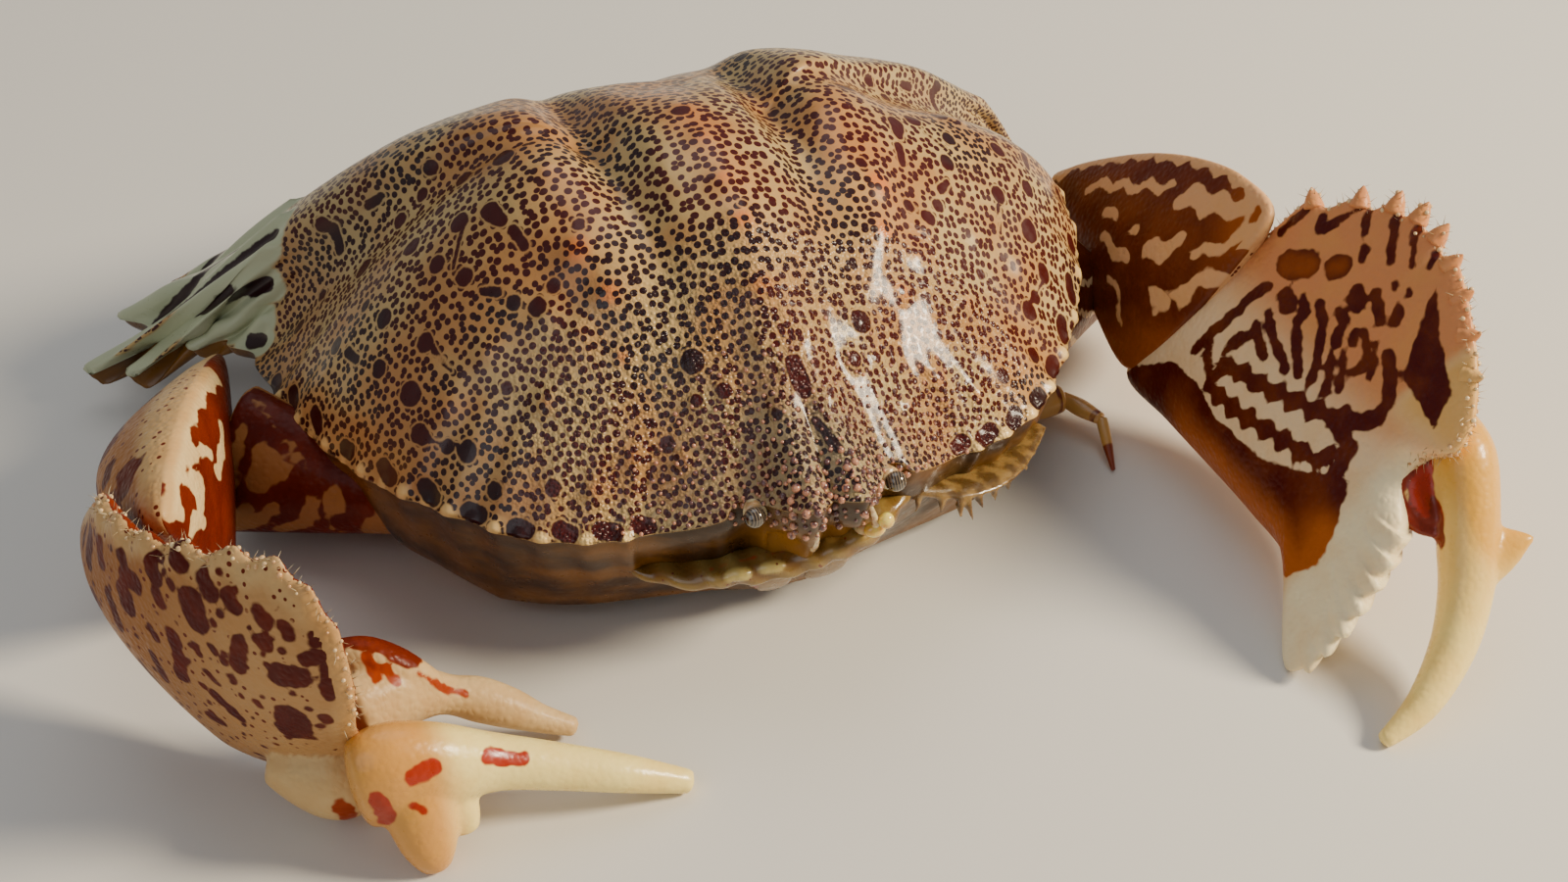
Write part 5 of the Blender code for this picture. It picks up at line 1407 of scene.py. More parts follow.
@dataclass
class LeftClaw(Claw):
    """The slimmer claw, its barred inner face turned forward and its finger bent down."""

    side: str = "left"

    def serrated(self, outline: Array) -> Array:
        """Cut small teeth into the biting edge of the fixed finger."""
        middle = np.array([38.0, 2.0])
        away = (outline - middle) / np.linalg.norm(outline - middle, axis=1)[:, None]
        biting = step(outline[:, 0], 38.6, 40.0) * step(outline[:, 1], 10.8, 9.4) * step(outline[:, 1], -6.6, -5.0)
        wave = 0.5 + 0.5 * np.cos(outline[:, 1] * 2 * math.pi / 2.3)
        return outline + away * (1.1 * biting * wave)[:, None]

    def tooth(self, bent: Bender, spot: tuple[float, float]) -> Surface:
        """Return one blunt tooth on the crest, pointing away from the palm's middle."""
        away = unit(np.subtract(spot, (21.0, 17.0)))
        rows = []
        for reach, radius in ((-1.2, 1.1), (-0.2, 0.8), (0.55, 0.4), (0.95, 0.1)):
            s, t = np.array(spot) + away * reach
            rows.append((*bent.point(np.array([s]), np.array([t]), np.zeros(1))[0], radius, radius))
        cone = tube(rows, sides=14)
        n = len(cone.verts)
        cone.fields = {"s": np.full(n, spot[0]), "t": np.full(n, spot[1]), "face": np.where(cone.fields["run"] > 0.6, -1.0, 0.0)}
        return cone

    def palm(self) -> Surface:
        """Return the palm with its bars, bands and dark lower zone."""
        bent = Bender(LEFT_PALM, 12.0, 0.4)
        skin = plate(PALM_EDGE, PALM_CENTRE, self.palm_outer, self.palm_inner, bent.point, per_span=8, frill=self.serrated)
        skin = skin.merged([self.tooth(bent, spot) for spot in CREST_TEETH])
        q = np.column_stack([skin.fields["s"], skin.fields["t"]])
        s, t = q.T
        inner = skin.fields["face"] < 0.5
        bands = np.full(len(q), FAR)
        for number, band in enumerate(WAVY_BANDS):
            ripple = 0.42 * np.sin(s * 2 * math.pi / 2.5 + number * 2.0)
            bands = np.minimum(bands, marked(q, chain(0.95, *band)) - ripple)
        amber = marked(q, chains(PALM_AMBER))
        low = inside(q, PALM_LOW)
        dark = np.minimum.reduce([bands, amber, low, inside(q, PALM_WEDGE), marked(q, chains(CROSS_BARS))])
        outer_marks = sown(q, PALM_EDGE, 5, 500, (0.45, 1.3), 3.4)
        stain = np.where(inner, dark, marked(q, outer_marks))
        tone = np.where(inner, np.maximum(step(amber, 0.4, -1.0) * 0.45, step(t, 5.2, 0.6) * step(s, 6.0, 14.0)), 0.1)
        tone = np.where(inner, np.maximum(tone, step(s, 30.0, 35.5) * step(t, 9.0, 5.0)), tone)
        finger = step(s, 33.5, 36.5) * step(t, 20.0, 14.0)
        # Painted highlight: a yellow band on the palm's far upper edge, with its blush taken off.
        rim = step(s + 0.3 * (30 - t), 34.2, 36.2) * step(t, 17.0, 21.0)
        blush = np.where(inner, 0.35 + 0.65 * step(t, 13.0, 20.0), 0.55) * (1 - finger)
        gold = np.clip(0.85 * rim + np.where(inner, 0.35 * step(t, 4.0, 0.0) * (1 - finger), 0.25 * (1 - finger)), 0, 1)
        freckle = np.where(inner, 0.0, 1 - finger)
        stain = np.where(inner | (finger < 0.5), stain, FAR)
        return paint(skin, stain=stain, tone=tone, blush=blush * (1 - rim), gold=gold, freckle=freckle)

    def wrist(self) -> Surface:
        """Return the fan-shaped wrist with pale islands on a dark inner face."""
        skin = plate(FAN_EDGE, FAN_CENTRE, self.fan_outer, self.fan_inner, LEFT_FAN.point)
        q = np.column_stack([skin.fields["s"], skin.fields["t"]])
        s, t = q.T
        inner = skin.fields["face"] < 0.5
        edge = inside(q, FAN_EDGE)
        pale = marked(waved(q), chains(LEFT_FAN_WHITE)) - 0.12
        rind = -edge - 0.9 - 0.5 * np.sin(s * 1.9)
        pale = np.minimum(pale, np.where(t > 15.0, rind, FAR))
        tone = np.clip(0.15 + 0.6 * step(s, 8.0, 15.0) * step(t, 12.0, 16.0) + 0.5 * step(t, 7.0, 2.0), 0, 1)
        stain = np.where(inner, -pale, marked(q, sown(q, FAN_EDGE, 11, 400, (0.45, 1.2), 3.2)))
        return paint(skin, stain=stain, tone=np.where(inner, tone, 0.1), blush=np.where(inner, 0.75, 0.6),
                     gold=np.where(inner, 0.15 + 0.5 * step(t, 6.0, 2.0), 0.25), freckle=np.where(inner, 0.0, 1.0))

    def finger(self) -> Surface:
        """Return the curved moving finger with its spur."""
        extras = [tube(rows, sides=18) for rows in (LEFT_SPUR, LEFT_HOOK, LEFT_HOOK_WEB)]
        skin = tube(LEFT_DACTYL, sides=32).merged(extras).fused(self.voxel)
        v = skin.verts
        hook = marked(v, [Stroke(a[:3], b[:3], 1.0) for a, b in zip(LEFT_HOOK[1:-1], LEFT_HOOK[2:])])
        web = marked(v, [Stroke(a[:3], b[:3], 1.5) for a, b in zip(LEFT_HOOK_WEB[:-1], LEFT_HOOK_WEB[1:])])
        stripe = marked(v, chains(LEFT_FINGER_MARKS))
        up = step(v[:, 2], 8.0, 15.5)
        outward = step(v[:, 0] + 0.2 * v[:, 2], 60.4, 63.4)
        tone = np.where(np.minimum(stripe, hook) < 0.25, 0.15, 1.0)
        return paint(skin, stain=np.minimum.reduce([stripe, hook, web]), tone=tone, blush=0.2 * up,
                     gold=np.clip(0.2 + 0.3 * up + 0.75 * outward * up, 0, 1))

    def build(self, place: Placement) -> dict[str, Surface]:
        """Build and install the claw, returning its skins by part."""
        return {
            "palm": self.install(self.palm(), "palm", "claw", CLAW, place),
            "carpus": self.install(self.wrist(), "carpus", "claw", CLAW, place),
            "dactyl": self.install(self.finger(), "dactyl", "finger", FINGER, place),
            "merus": self.install(Arm(self.side).upper_arm(), "merus", "claw", CLAW, place),
        }


@dataclass
class RightClaw(Claw):
    """The heavy claw, curled in front, with its cracking knob on the moving finger."""

    side: str = "right"

    def palm(self) -> Surface:
        """Return the palm and its fixed finger, spotted outside and dark inside."""
        bent = Bender(RIGHT_PALM, 48.0, 1.5, 0.011)
        skin = plate(RIGHT_PALM_EDGE, RIGHT_PALM_CENTRE, self.heavy_outer, self.heavy_inner, bent.point)
        thumb = tube(RIGHT_POLLEX, sides=32).merged([tube(RIGHT_HEEL, sides=24), tube(RIGHT_SHOULDER, sides=20)])
        n = len(thumb.verts)
        thumb.fields = {"s": np.full(n, 60.0), "t": np.full(n, 5.0), "face": np.full(n, 1.0)}
        both = skin.merged([thumb]).fused(self.voxel)
        q = np.column_stack([both.fields["s"], both.fields["t"]])
        s, t = q.T
        inner = both.fields["face"] < 0.0
        on_thumb = step(s, 40.0, 50.0)
        seeds = sown(q, RIGHT_PALM_EDGE, 23, 900, (0.14, 0.34), 1.9)
        outer = np.minimum(marked(q, chains(PALM_SPOTS)), marked(q, seeds) + 0.05)
        crest = inside(q, RIGHT_PALM_EDGE)
        thumb_marks = seen_along(both.verts, RIGHT_THUMB_MARKS, FROM_ABOVE)
        stain = np.where(inner, -2.0, outer - 0.1)
        stain = np.where(on_thumb > 0.5, thumb_marks, np.minimum(stain, thumb_marks + 0.2))
        rim = step(crest, -2.0, -0.6) * step(s, 30.0, 35.0) * (1 - on_thumb)
        # A paler band along the upper crest edge.
        paler_crest_band = step(crest, -2.6, -0.8) * step(t - 0.4 * s, 12.0, 16.0) * (1 - rim)
        band = step(seen_along(both.verts, RIGHT_THUMB_MARKS[2:3], FROM_ABOVE), 0.4, -0.2)
        tone = np.where(inner, 0.35, 0.05) + 0.8 * on_thumb * (1 - 0.75 * band) + 0.5 * step(t, 5.0, 2.0) * step(s, 29.0, 33.0)
        blush = np.where(inner, 0.3, 0.95 - 0.4 * step(s, 14.0, 32.0)) * (1 - on_thumb) * (1 - rim) * (1 - 0.7 * paler_crest_band) + 0.22 * on_thumb
        gold = np.clip(0.3 + 0.3 * step(t, 10.0, 2.0) + 0.35 * rim, 0, 1) * (1 - 0.9 * on_thumb)
        stain = np.where((rim > 0.5) & ~inner, np.maximum(stain, 0.6), stain)
        return paint(both, stain=stain, tone=np.clip(tone, 0, 1), blush=blush, gold=gold,
                     freckle=np.where(inner, 0.0, (1 - on_thumb) * (1 - rim)))

    def wrist(self) -> Surface:
        """Return the wrist, freckled outside, with white islands on red inside."""
        edge = np.array(FAN_EDGE) * RIGHT_FAN_SCALE
        skin = plate(edge, FAN_CENTRE, self.fan_outer, self.fan_inner, RIGHT_FAN.point)
        q = np.column_stack([skin.fields["s"], skin.fields["t"]])
        inner = skin.fields["face"] < 0.0
        pale = marked(waved(q, 0.35), chains(RIGHT_FAN_WHITE)) - 0.35
        stain = np.where(inner, -pale, marked(q, chains(RIGHT_FAN_SPOTS)) - 0.3)
        crest = step(inside(q, [tuple(p) for p in edge]), -1.2, -0.2) * step(q[:, 1], 13.0, 15.0)
        return paint(skin, stain=stain, tone=np.where(inner, 0.22, 0.05), blush=np.where(inner, 0.0, 0.95) * (1 - crest),
                     gold=np.where(inner, 0.0, 0.35) * (1 - crest) + 0.45 * crest, freckle=np.where(inner, 0.0, 1.0))

    def finger(self) -> Surface:
        """Return the moving finger with its knob and side lobe."""
        parts = [tube(RIGHT_KNOB, sides=24), tube(RIGHT_LOBE, sides=20)]
        skin = tube(RIGHT_DACTYL, sides=32).merged(parts).fused(self.voxel, 6)
        v = skin.verts
        root = step(v[:, 0], -39.0, -43.0)
        return paint(skin, stain=seen_along(v, RIGHT_FINGER_MARKS, FROM_ABOVE), tone=0.95, blush=root, gold=0.3 * root)

    def build(self, place: Placement) -> dict[str, Surface]:
        """Build and install the claw, returning its skins by part."""
        return {
            # The heavy claw wears the darker copy of the claw finish, with painted shade in its colours.
            "palm": self.install(self.palm(), "palm", "claw", HEAVY_SHADED, place),
            "carpus": self.install(self.wrist(), "carpus", "claw", HEAVY_SHADED, place),
            "dactyl": self.install(self.finger(), "dactyl", "finger", FINGER, place),
            "merus": self.install(Arm(self.side).upper_arm(), "merus", "claw", HEAVY_SHADED, place),
        }


MERUS_LEFT = (
    (26.6, -12.0, 7.8, 2.9, 3.2, 0.1, 0.2, 0.9), (32.0, -8.8, 8.2, 3.3, 3.6, 0.1, 0.3, 0.9),
    (38.0, -3.6, 8.4, 4.2, 4.2, 0.1, 0.5, 0.8), (44.6, 3.2, 8.8, 6.8, 4.4, 0.1, 0.6, 0.8),
)
MERUS_RIGHT = (
    (-26.6, -11.6, 7.8, 2.9, 3.2, -0.1, 0.2, 0.9), (-33.0, -7.2, 8.2, 3.4, 3.6, -0.1, 0.3, 0.9),
    (-40.0, -1.2, 8.0, 5.2, 4.2, 0.1, 0.5, 0.8), (-48.6, 6.2, 8.2, 7.8, 4.6, 0.1, 0.6, 0.8),
)
ISCHIUM = ((15.4, -12.6, 6.6, 2.4, 2.8), (19.5, -13.2, 7.0, 2.8, 3.2), (25.6, -12.4, 7.6, 2.9, 3.2))


def mirrored(stations: Sequence, sign: float) -> list[tuple[float, ...]]:
    """Return stations of the left side moved to the side that sign names."""
    rows = [list(row) for row in stations]
    for row in rows:
        row[0] *= sign
        if len(row) > 5:
            row[5] *= sign
    return [tuple(row) for row in rows]


@dataclass
class Arm:
    """The upper arm and its root joint."""

    side: str
    ring_pitch: float = 3.4

    def upper_arm(self) -> Surface:
        """Return the upper arm, dark in front with pale arcs, pale behind."""
        left = self.side == "left"
        skin = tube(MERUS_LEFT if left else MERUS_RIGHT, per_span=14, sides=40)
        v = skin.verts
        front = step(skin.normals()[:, 1], 0.35, -0.05)
        root = step(np.abs(v[:, 0]), 37.0, 32.0)
        if left:
            gap = np.linalg.norm(v - np.array([46.0, 0.0, 15.0]), axis=1)
            pale = self.ring_pitch * 0.24 * (1.2 - 2 * np.sin(gap * 2 * math.pi / self.ring_pitch))
        else:
            pale = marked(v, chains(ARM_WHITE))
        stain = np.where(front > 0.5, -pale, 0.5) + 2.5 * root
        blob = marked(v, chain(1.4, (-41.2, -5.6, 6.8), (-40.6, -5.8, 6.0)) if not left else chain(1.4, (36.0, -8.0, 8.0)))
        # Painted shade: the right arm's higher blush darkens its pale arcs.
        return paint(skin, stain=np.minimum(stain, blob), tone=0.12 + 0.5 * root, blush=0.35 if left else 0.9, gold=0.2 + 0.3 * root,
                     freckle=0.7 * np.maximum(1 - front, root))

    def root_joint(self) -> Surface:
        """Return the short joint between the arm and the body."""
        skin = tube(mirrored(ISCHIUM, 1.0 if self.side == "left" else -1.0), sides=32)
        return paint(skin, blush=0.5, gold=0.35, freckle=0.6)


# ---- legs and underside -------------------------------------------------------------
LEG_ROOT_X = 11.5
TIP_RISE = 0.25
LEGS = (
    ((-6.6, 4.8), (33.0, -9.6, 3.0), (38.4, -9.8, 2.9), (40.9, -14.4, 2.6), (39.6, -20.2, 0.0)),
    ((0.2, 5.4), (32.6, 4.4, 5.6), (37.2, 7.8, 3.7), (28.0, 8.2, 1.6), (20.6, 5.8, 0.0)),
    ((6.2, 5.6), (36.0, 12.6, 6.0), (41.2, 15.8, 4.1), (31.0, 16.6, 1.6), (22.6, 13.8, 0.0)),
    ((12.0, 5.8), (34.4, 21.0, 5.8), (39.6, 24.6, 4.0), (28.8, 25.2, 1.6), (20.8, 21.4, 0.0)),
)
TUCKED = ((-6.6, 4.8), (27.5, -6.8, 2.8), (31.8, -7.8, 3.0), (27.6, -12.8, 1.8), (21.2, -13.2, 0.0))
FIRST_LEG_SLIM = 0.6
# Sections of each leg piece: share of its length, half height, half width.
LEG_SECTIONS = {
    "merus": ((0.0, 1.5, 1.7), (0.40, 2.0, 2.4), (0.78, 2.0, 2.3), (0.97, 1.6, 1.8)),
    "carpus": ((0.0, 1.3, 1.4), (0.5, 1.8, 1.9), (0.92, 1.5, 1.6)),
    "propodus": ((0.0, 1.2, 1.3), (0.45, 1.4, 1.9), (0.96, 1.0, 1.3)),
    "dactyl": ((0.0, 0.8, 1.1), (0.45, 0.75, 1.0), (0.97, 0.4, 0.4)),
}


@dataclass
class Leg:
    """One walking leg of four pieces, folded under the shell."""

    number: int
    side: str
    sides: int = 18
    bow: float = 0.5

    def stops(self) -> list[Array]:
        """Return the root, knee, wrist, ankle and tip."""
        sign = 1.0 if self.side == "left" else -1.0
        root, *rest = TUCKED if self.number == 1 and sign < 0 else LEGS[self.number - 1]
        stops = [np.array(stop, float) * [sign, 1.0, 1.0] for stop in ((LEG_ROOT_X, *root), *rest)]
        stops[4][2] += TIP_RISE
        return stops

    def piece(self, part: str, a: Array, b: Array) -> Surface:
        """Return one piece of the leg between two stops, marked from its root to its end."""
        rows = []
        for share, height, width in LEG_SECTIONS[part]:
            at = a * (1 - share) + b * share
            slim = FIRST_LEG_SLIM if self.number == 1 and part in ("propodus", "dactyl") else 1.0
            rows.append((*at, height * slim, width * slim))
        skin = tube(rows, per_span=5, sides=self.sides)
        run = skin.fields["run"]
        tip = part == "dactyl"
        band = np.abs(run - 0.86) - 0.06 if not tip else 0.55 - run
        return paint(skin, stain=band * 8.0, tone=0.75 if tip else 0.5, blush=0.2 + 0.5 * run,
                     gold=0.35 + 0.3 * run, freckle=0.25)

    def build(self, place: Placement) -> None:
        """Build the leg in place of its four nodes."""
        stops = self.stops()
        parts = [self.piece(part, stops[k], stops[k + 1]) for k, part in enumerate(LEG_SECTIONS)]
        skin = parts[0].merged(parts[1:])
        item = skin.to_object(f"leg{self.number}_{self.side}", place, LIMB.build())
        install(item, [f"leg{self.number}_{part}_{self.side}" for part in LEG_SECTIONS])


STERNUM = (
    (-21.0, 4.6, 9.6, 5.4), (-17.0, 2.4, 10.2, 9.0), (-12.0, 0.6, 10.2, 12.0), (-6.0, -0.3, 10.2, 13.6),
    (4.0, -0.3, 10.2, 14.2), (13.0, -0.3, 10.2, 12.6), (20.0, 1.0, 10.2, 9.4), (26.0, 3.2, 10.2, 6.0),
)
ABDOMEN = (
    (-9.6, -0.2, 1.9, 1.2), (-7.0, -0.2, 2.2, 2.0), (2.0, -0.2, 2.3, 3.4), (12.0, -0.2, 2.4, 4.8),
    (20.0, 0.4, 2.9, 6.6), (26.0, 2.6, 5.2, 8.2), (31.0, 4.8, 7.6, 9.4), (35.0, 6.6, 9.6, 9.6),
)


def slab(rows: Sequence, power: float, sides: int = 72, per_span: int = 10) -> Surface:
    """Loft along y through sections of y, low z, high z and half width."""
    angle = np.arange(sides) * 2 * math.pi / sides + math.pi / sides
    c = np.sign(np.cos(angle)) * np.abs(np.cos(angle)) ** (2 / power)
    s = np.sign(np.sin(angle)) * np.abs(np.sin(angle)) ** (2 / power)
    rings = []
    for y, low, high, half in catmull(rows, per_span):
        rings.append(np.stack([-c * half, 0 * c + y, (low + high) / 2 + s * (high - low) / 2], 1))
    ends = [rings[0].mean(0)[None, :], rings[-1].mean(0)[None, :]]
    return Surface.from_rings([ends[0]] + rings + [ends[1]])


@dataclass
class Belly:
    """The breast plate with its joints, and the tail folded under it."""

    groove: float = 0.35
    segment_lines: tuple[float, ...] = (-4.0, 2.5, 9.0, 15.5, 21.5, 27.0, 32.0)

    def breast(self) -> Surface:
        """Return the breast plate, grooved where its segments meet."""
        skin = slab(STERNUM, 4.0)
        v = skin.verts
        slant = v[:, 1] + 0.25 * np.abs(v[:, 0])
        lines = sum(np.exp(-((slant - y) / 0.5) ** 2) for y in (-13.0, -7.5, -1.5, 4.5, 10.5, 16.5))
        skin.push(-self.groove * lines * step(np.abs(v[:, 0]), 3.5, 6.0))
        return skin

    def tail(self) -> Surface:
        """Return the folded tail, grooved between its segments."""
        skin = slab(ABDOMEN, 3.0)
        y = skin.verts[:, 1]
        skin.push(-0.3 * sum(np.exp(-((y - line) / 0.4) ** 2) for line in self.segment_lines))
        return skin

    def build(self, place: Placement) -> None:
        """Build both plates."""
        install(self.breast().to_object("breast_plate", place, BELLY.build()), ["sternum"])
        install(self.tail().to_object("folded_tail", place, BELLY.build()), ["abdomen"])
        for side in ("left", "right"):
            skin = Arm(side).root_joint()
            install(skin.to_object(f"arm_root_{side}", place, LIMB.build()), [f"ischium_{side}"])


# ---- face ---------------------------------------------------------------------------
MAXILLIPED_EDGE = ((0.0, 0.5), (0.0, 3.4), (1.9, 5.0), (5.0, 5.2), (7.6, 3.5), (9.4, 1.3), (8.8, 0.4), (4.4, 0.2))
EYE_STALK = ((5.4, -31.0, 19.8, 1.1, 1.1), (6.5, -33.0, 20.3, 1.15, 1.15), (6.9, -34.0, 20.5, 1.15, 1.15))
EYE_AT = (7.2, -34.7, 20.6)
# Stations of the amber lip under the feeler pits, and of the fringe under the left cheek.
LIP = (
    (-17.0, -27.0, 10.8, 0.5, 0.8), (-14.0, -28.8, 11.0, 0.9, 1.6), (-11.0, -30.6, 11.4, 1.1, 2.0),
    (-8.0, -31.5, 11.8, 1.2, 2.2), (-4.0, -32.2, 12.2, 1.3, 2.2), (0.4, -32.8, 12.9, 1.4, 2.3),
    (4.0, -33.1, 13.9, 1.3, 2.2), (7.0, -32.4, 15.0, 1.0, 1.7), (9.6, -31.0, 15.6, 0.6, 1.0),
)
LIP_MARKS = ((0.62, (-9.2, -33.4, 12.6), (-7.9, -33.6, 12.7)), (0.5, (-5.9, -33.9, 12.9), (-4.6, -34.0, 13.0)))
LIP_LINE = ((0.28, (-10.6, -31.8, 13.0), (-7.0, -32.2, 13.5), (-3.6, -32.6, 13.9)),)
FRINGE = (
    (10.2, -29.2, 15.2, 0.4, 1.0), (12.6, -29.8, 14.2, 0.45, 1.5), (16.6, -30.1, 13.4, 0.45, 2.0),
    (20.6, -29.0, 12.8, 0.45, 2.0), (24.6, -26.4, 12.4, 0.4, 1.6), (28.4, -22.8, 12.0, 0.35, 1.1),
)
FRINGE_TIPS = (
    ((11.6, -30.6, 14.0), (11.0, -31.3, 12.5)), ((13.8, -31.4, 13.4), (13.4, -32.0, 12.2)),
    ((15.4, -32.0, 13.0), (15.2, -33.0, 11.5)), ((16.3, -31.9, 12.9), (16.5, -33.2, 11.0)),
    ((17.6, -31.6, 12.8), (18.0, -32.5, 11.6)), ((19.6, -31.0, 12.6), (19.6, -31.6, 11.5)),
    ((21.6, -30.0, 12.4), (21.4, -30.7, 11.5)), ((24.4, -27.8, 12.2), (24.6, -28.5, 11.4)),
)
FEELER_LEFT = ((3.5, -33.0, 14.6, 0.6, 0.6), (4.1, -35.2, 15.8, 0.55, 0.55), (4.5, -36.3, 17.2, 0.45, 0.45),
               (4.0, -36.9, 19.2, 0.3, 0.3), (3.3, -37.5, 21.2, 0.22, 0.22))
FEELER_RIGHT = ((-1.6, -33.0, 13.6, 0.5, 0.5), (-1.4, -34.4, 14.6, 0.5, 0.5), (-1.5, -35.8, 16.4, 0.42, 0.42),
                (-1.9, -37.0, 19.0, 0.3, 0.3), (-2.3, -37.6, 21.2, 0.22, 0.22))


def ball(centre: Sequence[float], radii: Sequence[float], sides: int = 32, rows: int = 20) -> Surface:
    """Return an ellipsoid."""
    angle = np.arange(sides) * 2 * math.pi / sides
    circle = np.stack([np.cos(angle), np.sin(angle), 0 * angle], 1)
    rings = [np.array([[0.0, 0.0, -1.0]])]
    for k in range(1, rows):
        tilt = math.pi * k / rows
        rings.append(circle * math.sin(tilt) + np.array([0.0, 0.0, -math.cos(tilt)]))
    rings.append(np.array([[0.0, 0.0, 1.0]]))
    return Surface.from_rings([np.array(centre) + ring * radii for ring in rings])


@dataclass
class Face:
    """Eyes, feelers and mouth plates under the front edge."""

    eye_radii: tuple[float, float, float] = (1.08, 1.0, 1.02)
    stripe_pitch: float = 0.27

    def eye(self, side: str, sign: float, place: Placement) -> None:
        """Build a glassy striped eye on its short stalk."""
        flip = np.array([sign, 1.0, 1.0])
        glass = ball(np.array(EYE_AT) * flip, self.eye_radii)
        offset = glass.verts - np.array(EYE_AT) * flip
        across = offset @ unit([0.95 * sign, -0.2, 0.15])
        glass.fields = {"stripe": across * 2 * math.pi / self.stripe_pitch}
        stalk = tube(mirrored(EYE_STALK, sign), sides=24)
        install(glass.to_object(f"eye_{side}_glass", place, EYE.build()), [f"eye_{side}"])
        install(stalk.to_object(f"eye_{side}_stalk", place, STALK.build()))

    def mouth_plate(self, side: str, sign: float, place: Placement) -> None:
        """Build one of the two plates that close the mouth."""
        axes = Axes((0.45 * sign, -26.8, 3.6), (0.0, -0.42, 0.9), (sign, 0.0, 0.0), sign)
        skin = plate(MAXILLIPED_EDGE, (4.4, 2.4), lambda s, t: 1.3 + 0 * s, lambda s, t: 0.8 + 0 * s, axes.point,
                     steps=20, even=0.3)
        q = np.column_stack([skin.fields["s"], skin.fields["t"]])
        seam = marked(q, chain(0.12, (0.2, 4.3), (4.0, 4.6), (7.4, 3.4)))
        skin.push(-0.2 * step(seam, 0.5, 0.0) * (skin.fields["face"] > 0.5))
        paint(skin, stain=seam, tone=0.3, blush=0.6, gold=0.8, freckle=0.6)
        install(skin.to_object(f"mouth_plate_{side}", place, MOUTH.build()), [f"maxilliped_{side}"])

    def feelers(self, place: Placement) -> None:
        """Build the two clear feelers and the yellow bud beside the left one."""
        for side, rows in (("left", FEELER_LEFT), ("right", FEELER_RIGHT)):
            skin = tube(rows, per_span=5, sides=16)
            install(skin.to_object(f"feeler_{side}", place, STALK.build()), [f"antenna_{side}"])
        bud = ball((5.3, -37.0, 18.1), (0.8, 0.75, 0.85)).merged([ball((4.5, -36.2, 16.6), (1.1, 0.8, 0.8))])
        install(bud.to_object("feeler_bud", place, BUD.build()))

    def lip(self, place: Placement) -> None:
        """Build the lumpy amber lip, with its pale ovals and red line, and the fringed left cheek."""
        skin = tube(LIP, per_span=14, sides=48, power=2.6)
        v = skin.verts
        ripple = np.sin(v[:, 0] * 1.3 + 0.6 * np.sin(v[:, 0] * 0.7)) * np.sin(v[:, 2] * 1.9 + v[:, 0] * 0.5)
        pale = marked(v, chains(LIP_MARKS))
        skin.push(0.26 * ripple + 0.2 * step(pale, 0.5, -0.4))
        line = marked(v, chains(LIP_LINE))
        paint(skin, stain=line, tone=0.85, gold=np.clip(0.85 - 0.2 * ripple, 0, 1) * step(pale, -0.1, 0.3), freckle=0.8)
        install(skin.to_object("amber_lip", place, MOUTH.build()))
        spines = []
        for base, tip in FRINGE_TIPS:
            middle = (np.array(base) + tip) / 2 + [0.0, -0.15, 0.0]
            spines.append(tube(((*base, 0.5, 0.5), (*middle, 0.26, 0.26), (*tip, 0.07, 0.07)), sides=10))
        fringe = tube(FRINGE, per_span=10, sides=36).merged(spines).fused(0.22, 3)
        install(fringe.to_object("cheek_fringe", place, AMBER_GUM.build()))

    def build(self, place: Placement) -> None:
        """Build the whole face."""
        for side, sign in (("left", 1.0), ("right", -1.0)):
            self.eye(side, sign, place)
            self.mouth_plate(side, sign, place)
        self.lip(place)
        self.feelers(place)


# ---- what grows on the shell --------------------------------------------------------
class Form(Enum):
    """The small forms that are scattered over a skin."""

    GRAIN = "grain"
    SPINE = "spine"
    HAIR = "hair"


